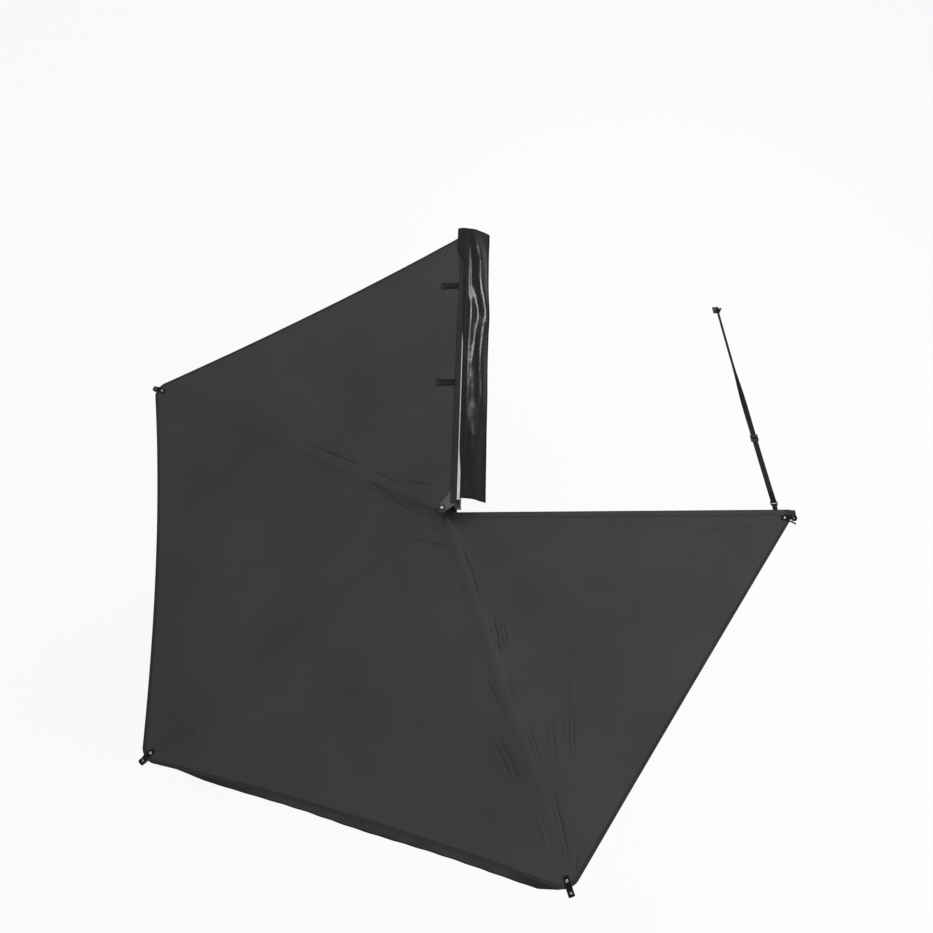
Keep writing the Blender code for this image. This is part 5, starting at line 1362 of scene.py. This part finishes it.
def build_storage(materials, canopy):
    """Cloth straps with bound edges, sewn to the canopy's plate hem and lying on the first panel."""
    steps = np.linspace(STRAP_START, -STRAP_REACH, STRAP_STEPS)
    for name, along in zip(("rear", "front"), STRAP_PLACES):
        heights = np.array([strap_height(canopy, x, along) for x in steps])
        padded = np.pad(heights, STRAP_EASE // 2, mode="edge")
        eased = np.convolve(padded, np.ones(STRAP_EASE) / STRAP_EASE, "valid")
        heights = np.maximum(heights, eased) + 2 * GAP
        points = strap_grid(steps, np.linspace(STRAP_HALF, -STRAP_HALF, 9), heights, along)
        mesh = slab(points, 0.0, STRAP_THICKNESS)
        solid = [f"storage_strap_{name}"]
        strap = piece(f"strap_cloth_{name}", mesh, "base", materials["strap"], solid)
        for side, way in (("a", 1), ("b", -1)):
            points = strap_grid(steps, way * np.array(BINDING_EDGES), heights, along)
            mesh = slab(points, -BINDING_UNDER, STRAP_THICKNESS + BINDING_OVER)
            piece(f"strap_binding_{name}_{side}", mesh, "base", materials["webbing"])
        ends = np.linspace(-1, 1, 9) * STRAP_BAR_HALF
        points = strap_grid(steps[:STRAP_BAR_STEPS], ends, heights[:STRAP_BAR_STEPS], along)
        mesh = slab(points, STRAP_THICKNESS - BINDING_UNDER, STRAP_THICKNESS + STRAP_BAR_OVER)
        piece(f"strap_bar_{name}", mesh, "base", materials["webbing"])
        top = heights + STRAP_THICKNESS + STITCH_LIFT
        rows = [strap_grid(steps, [way * STRAP_SEAM], top, along)[:, 0] for way in (1, -1)]
        short = {"pitch": STRAP_PITCH, "length": STRAP_STITCH, "width": SHORT_WIDTH}
        sew(f"strap_stitches_{name}", rows, "base", materials, **short)


# Opened transit cover


def cover_surface(u, v):
    """Points on the cover: v runs along the plate. The first third of u lies on the plate's top, and the
    rest falls behind it."""
    start = HUB_SETBACK + COVER_START
    end = HUB_SETBACK + PLATE_LENGTH + COVER_END
    along = start + v * (end - start)
    first_lap = ramp(along, COVER_FIRST_LAP_START, COVER_FIRST_LAP_RUN)
    lap = ramp(along, COVER_LAP_START, COVER_LAP_RUN)
    end_lap = ramp(along, COVER_END_START, COVER_END_RUN)
    behind = PLATE_BACK - GAP
    more_lap = (COVER_LAP - COVER_FIRST_LAP) * lap
    near = behind - COVER_FIRST_LAP * first_lap - more_lap - COVER_END_LAP * end_lap
    top = PLATE_HIGH.z + COVER_LIFT + 3 * GAP
    far = behind + COVER_THICKNESS + COVER_OVERHANG
    share = np.clip((3 * u - 1) / 2, 0.0, 1.0)
    fold, rumple = cover_folds(share, along)
    flat = near + 3 * u * (far - near)
    on_plate = u < 1 / 3
    x = np.where(on_plate, flat, far + share * (COVER_REACH + COVER_FOLD_OUT * fold))
    roll = COVER_ROLL * (far - near) * np.sin(3 * np.pi * np.minimum(u, 1 / 3))
    z = np.where(on_plate, top + roll, top - COVER_DROP * share ** COVER_FALL + fold + rumple)
    y = along + np.where(on_plate, 0.0, COVER_FOLD_ALONG * fold)
    return np.stack([HUB[0] + x, HUB[1] + y, z], axis=-1)


def cover_folds(share, along):
    """Long folds that run lengthwise and drift across the cover, and the rumples between them."""
    fold = np.zeros_like(share)
    for start, end, near, far, width, tall in COVER_FOLDS:
        place = np.clip((along - start) / (end - start), 0, 1)
        centre = near + (far - near) * place
        drift = COVER_FOLD_DRIFT * np.sin(COVER_FOLD_DRIFTS * along)
        rise = smooth_step((along - start) / COVER_FOLD_FADE + 0.5)
        fall = smooth_step((end - along) / COVER_FOLD_FADE + 0.5)
        taper = rise * fall
        off = (share - centre - drift) / width
        dips = COVER_FOLD_DIP * np.exp(-((np.abs(off) - COVER_DIP_PLACE) ** 2) * COVER_DIP_FALL)
        fold += tall * taper * (hump(off) - dips)
    rumple = np.zeros(share.size)
    for n, (a, b) in enumerate(zip(share.ravel(), along.ravel())):
        slow = noise.noise((a * 3.1, b * 2.6, 5.0))
        quick = noise.noise((a * 7.0 + b * 2.0, b * 9.0 - a * 3.0, 9.0))
        rumple[n] = COVER_RUMPLE * slow + COVER_CRINKLE * quick
    loose = smooth_step(share * COVER_LOOSE)
    return fold * loose, rumple.reshape(share.shape) * loose


def build_cover(materials):
    """The cover, with the binding and the stitches along its far edge."""
    v, u = np.meshgrid(np.linspace(0, 1, 420), np.linspace(0, 1, 46), indexing="ij")
    mesh = slab(cover_surface(u, v), 0.0, COVER_THICKNESS)
    cover = piece("cover_cloth", mesh, "base", materials["cover_pvc"], ["transit_cover"])
    v, u = np.meshgrid(np.linspace(*COVER_EDGE_RUN), np.array(COVER_EDGE_ROWS), indexing="ij")
    mesh = slab(cover_surface(u, v), -COVER_EDGE_UNDER, COVER_THICKNESS + COVER_EDGE_OVER)
    edge = piece("cover_edge", mesh, "base", materials["webbing"])
    run = np.linspace(*COVER_SEAM_RUN)
    row = cover_surface(np.full_like(run, COVER_SEAM), run)
    row[..., 2] += COVER_THICKNESS + COVER_STITCH_LIFT
    stitches = sew("cover_stitches", [row], "base", materials)


# Tie strap


def tie_frame():
    """The tie's own axes in the scene: its pivot, and unit vectors along and across it."""
    pivot = np.array(JOINTS["tie_swing"]["pos_m"])
    turn = math.radians(TIE_HEADING)
    along = np.array([-math.sin(turn), math.cos(turn), 0.0])
    across = np.array([math.cos(turn), math.sin(turn), 0.0])
    return pivot, along, across


def tie_surface(side, distance):
    """Points across the webbing at a distance along the tie; it turns on edge towards its far end."""
    pivot, along, across = tie_frame()
    share = (distance - TIE_START) / (TIE_LENGTH - TIE_START)
    centre = TIE_LINK / 2 - TIE_DROP * share - TIE_SAG * 4 * share * (1 - share)
    twist = np.pi / 2 * ramp(distance, TIE_TWIST_START, TIE_TWIST_RUN)
    flat = side * np.cos(twist)
    rise = centre + side * np.sin(twist)
    up = np.array([0, 0, 1.0])
    return pivot + distance[..., None] * along + flat[..., None] * across + rise[..., None] * up


def tie_lap_surface():
    """The webbing's end, which goes round the link's bar and back over itself."""
    pivot, along, across = tie_frame()
    path = list(TIE_UNDER)
    for turn in np.radians(np.linspace(-90, 90, 13)):
        place = TIE_BAR - TIE_LOOP_REACH * math.cos(turn)
        path.append((place, TIE_LINK / 2 + TIE_LOOP_RISE * math.sin(turn)))
    for place in np.linspace(TIE_LAP_START, TIE_LAP_END, 16):
        strap = tie_surface(np.array(0.0), np.array(place))[2] - pivot[2]
        settle = TIE_SETTLE * (1 - float(ramp(place, TIE_SETTLE_START, TIE_SETTLE_RUN)))
        path.append((place, strap + TIE_LAP_LIFT + settle))
    sides = np.linspace(-TIE_HALF, TIE_HALF, 7)
    rows = []
    for place, height in path:
        rows.append([pivot + place * along + side * across + (0, 0, height) for side in sides])
    return np.array(rows)


def build_tie(materials):
    """The taut webbing, the lap that holds it to its link, and the stitches through both."""
    run = np.linspace(TIE_START, TIE_LENGTH, 220)
    d, s = np.meshgrid(run, np.linspace(-TIE_HALF, TIE_HALF, 7), indexing="ij")
    mesh = slab(tie_surface(s, d), -TIE_THICKNESS / 2, TIE_THICKNESS / 2)
    strap = piece("tie_webbing", mesh, "tie", materials["tie_webbing"], ["tie_strap"])
    mesh = slab(tie_lap_surface(), -TIE_LAP_THICKNESS / 2, TIE_LAP_THICKNESS / 2)
    doubled = piece("tie_lap", mesh, "tie", materials["webbing"])
    lift = np.array([0, 0, TIE_LAP_LIFT + TIE_LAP_THICKNESS / 2 + TIE_STITCH_LIFT])
    rows = sewn_box(TIE_BOX, TIE_BOX_HALF, lambda a, b: tie_surface(np.array(b), np.array(a)) + lift)
    stitches = sew("tie_stitches", rows, "tie", materials, pitch=SHORT_PITCH, length=SHORT_LENGTH)


# Fasteners


def build_plate_bolts(materials):
    """Bolts through the hub's flange and through the mounting brackets, into the plate's two channels."""
    spots = []
    for along in FLANGE_BOLTS:
        for way in (-1, 1):
            place = (FLANGE_FACE, HUB[1] + along, PLATE_MIDDLE + way * BOLT_CHANNEL_OFFSET)
            spots.append((place, (-1, 0, 0)))
    for along in BRACKET_BOLTS:
        for way in (-1, 1):
            spots.append(((BRACKET_FACE, along, PLATE_MIDDLE + way * BOLT_CHANNEL_OFFSET), (1, 0, 0)))
    fasten("plate_bolts", spots, "base", materials)


def build_screws(materials):
    """Screws in the plate's end caps, in each rafter's knuckle and tip, and in the tie's lug."""
    spots = []
    for way in (-1, 1):
        for up in (-1, 1):
            place = (PLATE_LOW.x + CAP_SCREW_DEPTH, way * CAP_FACE, PLATE_MIDDLE + up * CAP_SCREW_RISE)
            spots.append((place, (0, way, 0)))
    fasten("cap_screws", spots, "base", materials, **SCREW)
    for n in range(LAST + 1):
        left = ways(n)[1]
        spots = []
        for side in (-1, 1):
            facing = (*(side * left), 0)
            for reach in RAFTER_SCREWS:
                spots.append((on_rafter(n, reach, side * RAIL_HALF, RAFTER_SCREW_HEIGHT), facing))
        fasten(f"rafter_screws_{n + 1}", spots, f"arm_{n + 1}", materials, **SCREW)
    left = ways(LAST)[1]
    spots = []
    for way in (-1, 1):
        place = on_rafter(LAST, LUG_REACH + way * LUG_SCREW_APART, LUG_FACE, LUG_SCREW_HEIGHT)
        spots.append((place, (*left, 0)))
    fasten("lug_screws", spots, "arm_4", materials, **SCREW)


def build_washer(materials):
    """A black wear washer round the pivot bolt's head, turned from its outline."""
    turns = np.linspace(0, 2 * np.pi, 49)[:-1]
    ring = [[(r * math.cos(a), r * math.sin(a), z) for r, z in WASHER_OUTLINE] for a in turns]
    verts = np.array(ring).reshape(-1, 3) + np.array([*HUB, WASHER_BASE])
    count = len(WASHER_OUTLINE)
    faces = []
    for n in range(len(turns)):
        here = n * count
        beyond = (n + 1) % len(turns) * count
        for m in range(count):
            after = (m + 1) % count
            faces.append((here + m, beyond + m, beyond + after, here + after))
    mesh = bpy.data.meshes.new("washer")
    mesh.from_pydata(verts.tolist(), [], faces)
    mesh.shade_smooth()
    mesh.set_sharp_from_angle(angle=math.radians(WASHER_SHARP))
    piece("pivot_washer", mesh, "base", materials["nylon"])


def dress_solids(materials):
    """A finish for each of the solids that stays. Zinc plate is for all that SOLID_FINISHES doesn't name."""
    for node, solid in frame["nodes"].items():
        if solid.hide_render:
            continue
        chosen = next((named for word, named in SOLID_FINISHES if word in node), "zinc")
        if chosen in RAFTER_FINISHES:
            chosen = f"{chosen}_{node.split('_')[1]}"
        solid.data.materials.clear()
        solid.data.materials.append(materials[chosen])


def main():
    build_camera()
    build_floor()
    build_softboxes()
    build_world()
    materials = make_materials()
    canopy = build_panels(materials)
    build_tapes(materials)
    build_plate_hem(materials)
    build_hem_stitches(materials)
    build_tabs(materials)
    build_tab_tail(materials)
    build_flap(materials)
    build_storage(materials, canopy)
    build_cover(materials)
    build_tie(materials)
    build_plate_bolts(materials)
    build_screws(materials)
    build_washer(materials)
    dress_solids(materials)


main()
